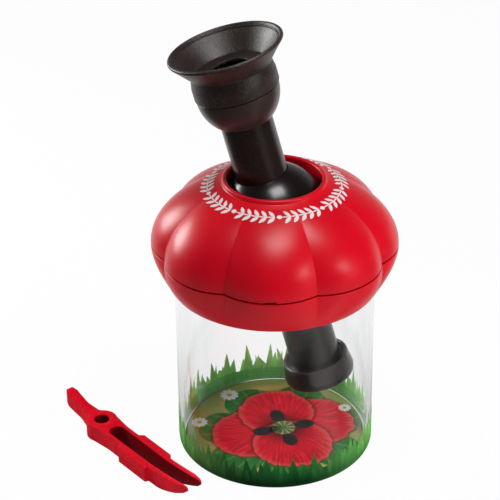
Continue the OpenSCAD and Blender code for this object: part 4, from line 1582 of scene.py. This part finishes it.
def make_stage():
    """Pale floor, white surroundings, soft lamps and the camera."""
    stage = bpy.context.scene.stage_settings
    make_floor_plane()
    make_surroundings()
    add_lamp("key_lamp", stage.key, turn=65, rise=8, away=0.9, size=(0.35, 0.35), mirrored=False)
    add_lamp("front_fill", stage.fill, turn=-25, rise=3, away=0.9, size=(0.3, 0.16), mirrored=False)
    add_lamp("overhead_box", stage.overhead, turn=26, rise=78, away=0.55, size=(0.22, 0.18))
    add_lamp("left_box", stage.left, turn=-121, rise=15, away=0.6, size=(0.22, 0.22))
    add_lamp("right_lamp", stage.right, turn=53, rise=23.5, away=0.7, size=(0.11, 0.11))
    camera = added("camera", bpy.data.cameras.new("camera"))
    camera.data.lens = stage.focal
    camera.data.sensor_width = 36
    camera.data.clip_start = 0.05
    camera.data.clip_end = 20
    forward = Vector((0, math.cos(stage.pitch), -math.sin(stage.pitch)))
    target = Vector((stage.target_x, 0, stage.target_z))
    turn = forward.to_track_quat("-Z", "Y").to_matrix() @ Matrix.Rotation(-stage.roll, 3, "Z")
    camera.matrix_world = Matrix.Translation(target - forward * stage.distance) @ turn.to_4x4()
    bpy.context.scene.camera = camera
    bpy.context.scene.view_settings.view_transform = "Standard"


# Operators, panel and registration

class MakingStep:
    """What every making step shares: it can be undone and made again."""

    bl_options = {"REGISTER", "UNDO"}


class BUG_JAR_OT_jar(MakingStep, bpy.types.Operator):
    """Models the clear jar"""

    bl_idname = "bug_jar.jar"
    bl_label = "Jar"

    def execute(self, context):
        make_jar()
        return {"FINISHED"}


class BUG_JAR_OT_floor(MakingStep, bpy.types.Operator):
    """Models the printed card and the clear disc on the jar's floor"""

    bl_idname = "bug_jar.floor"
    bl_label = "Floor print and disc"

    def execute(self, context):
        make_floor()
        return {"FINISHED"}


class BUG_JAR_OT_grass(MakingStep, bpy.types.Operator):
    """Models the printed grass round the jar's foot"""

    bl_idname = "bug_jar.grass"
    bl_label = "Grass print"

    def execute(self, context):
        make_grass()
        return {"FINISHED"}


class BUG_JAR_OT_lid(MakingStep, bpy.types.Operator):
    """Models the lid's two covers and the printed leaves on it"""

    bl_idname = "bug_jar.lid"
    bl_label = "Lid"

    def execute(self, context):
        make_lid_lower()
        make_lid_upper()
        make_lid_marks()
        return {"FINISHED"}


class BUG_JAR_OT_ball(MakingStep, bpy.types.Operator):
    """Models the two halves of the ball"""

    bl_idname = "bug_jar.ball"
    bl_label = "Ball"

    def execute(self, context):
        make_ball()
        return {"FINISHED"}


class BUG_JAR_OT_tube(MakingStep, bpy.types.Operator):
    """Models the viewer's tube and the cap on its lower end"""

    bl_idname = "bug_jar.tube"
    bl_label = "Tube and cap"

    def execute(self, context):
        make_tube()
        make_cap()
        return {"FINISHED"}


class BUG_JAR_OT_eyepiece(MakingStep, bpy.types.Operator):
    """Models the eyepiece body and the ring with the sight hole"""

    bl_idname = "bug_jar.eyepiece"
    bl_label = "Eyepiece"

    def execute(self, context):
        make_bowl()
        make_sight_ring()
        return {"FINISHED"}


class BUG_JAR_OT_eyecup(MakingStep, bpy.types.Operator):
    """Models the soft eyecup"""

    bl_idname = "bug_jar.eyecup"
    bl_label = "Eyecup"

    def execute(self, context):
        make_eyecup()
        return {"FINISHED"}


class BUG_JAR_OT_fittings(MakingStep, bpy.types.Operator):
    """Paints the lenses, the screws, the seat and the soft ring inside"""

    bl_idname = "bug_jar.fittings"
    bl_label = "Inner fittings"

    def execute(self, context):
        paint_inner_nodes()
        return {"FINISHED"}


class BUG_JAR_OT_tweezers(MakingStep, bpy.types.Operator):
    """Models the tweezers and their two arms"""

    bl_idname = "bug_jar.tweezers"
    bl_label = "Tweezers"

    def execute(self, context):
        make_tweezers()
        return {"FINISHED"}


class BUG_JAR_OT_stage(MakingStep, bpy.types.Operator):
    """Sets up the floor, the surroundings, the lamps and the camera"""

    bl_idname = "bug_jar.stage"
    bl_label = "Stage"

    def execute(self, context):
        make_stage()
        return {"FINISHED"}


OPERATORS = (
    BUG_JAR_OT_jar,
    BUG_JAR_OT_floor,
    BUG_JAR_OT_grass,
    BUG_JAR_OT_lid,
    BUG_JAR_OT_ball,
    BUG_JAR_OT_tube,
    BUG_JAR_OT_eyepiece,
    BUG_JAR_OT_eyecup,
    BUG_JAR_OT_fittings,
    BUG_JAR_OT_tweezers,
    BUG_JAR_OT_stage,
)


class BUG_JAR_PT_panel(bpy.types.Panel):
    """Lists the making steps and the sizes of the bug catcher jar."""

    bl_label = "Bug catcher jar"
    bl_idname = "BUG_JAR_PT_panel"
    bl_space_type = "VIEW_3D"
    bl_region_type = "UI"
    bl_category = "Bug jar"

    def draw(self, context):
        for made in OPERATORS:
            self.layout.operator(made.bl_idname)
        for name, group in GROUPS.items():
            box = self.layout.box()
            box.label(text=group.__doc__)
            for key in group.__annotations__:
                box.prop(getattr(context.scene, name), key)


def register():
    """Registers the groups, the operators and the panel."""
    for name, group in GROUPS.items():
        bpy.utils.register_class(group)
        setattr(bpy.types.Scene, name, PointerProperty(type=group))
    for made in OPERATORS:
        bpy.utils.register_class(made)
    bpy.utils.register_class(BUG_JAR_PT_panel)


def unregister():
    """Takes back what register did."""
    bpy.utils.unregister_class(BUG_JAR_PT_panel)
    for made in reversed(OPERATORS):
        bpy.utils.unregister_class(made)
    for name, group in GROUPS.items():
        delattr(bpy.types.Scene, name)
        bpy.utils.unregister_class(group)


def main():
    """Registers everything and builds the pieces in order."""
    register()
    for made in OPERATORS:
        name = made.bl_idname.split(".")[1]
        getattr(bpy.ops.bug_jar, name)()


if __name__ == "__main__":
    main()
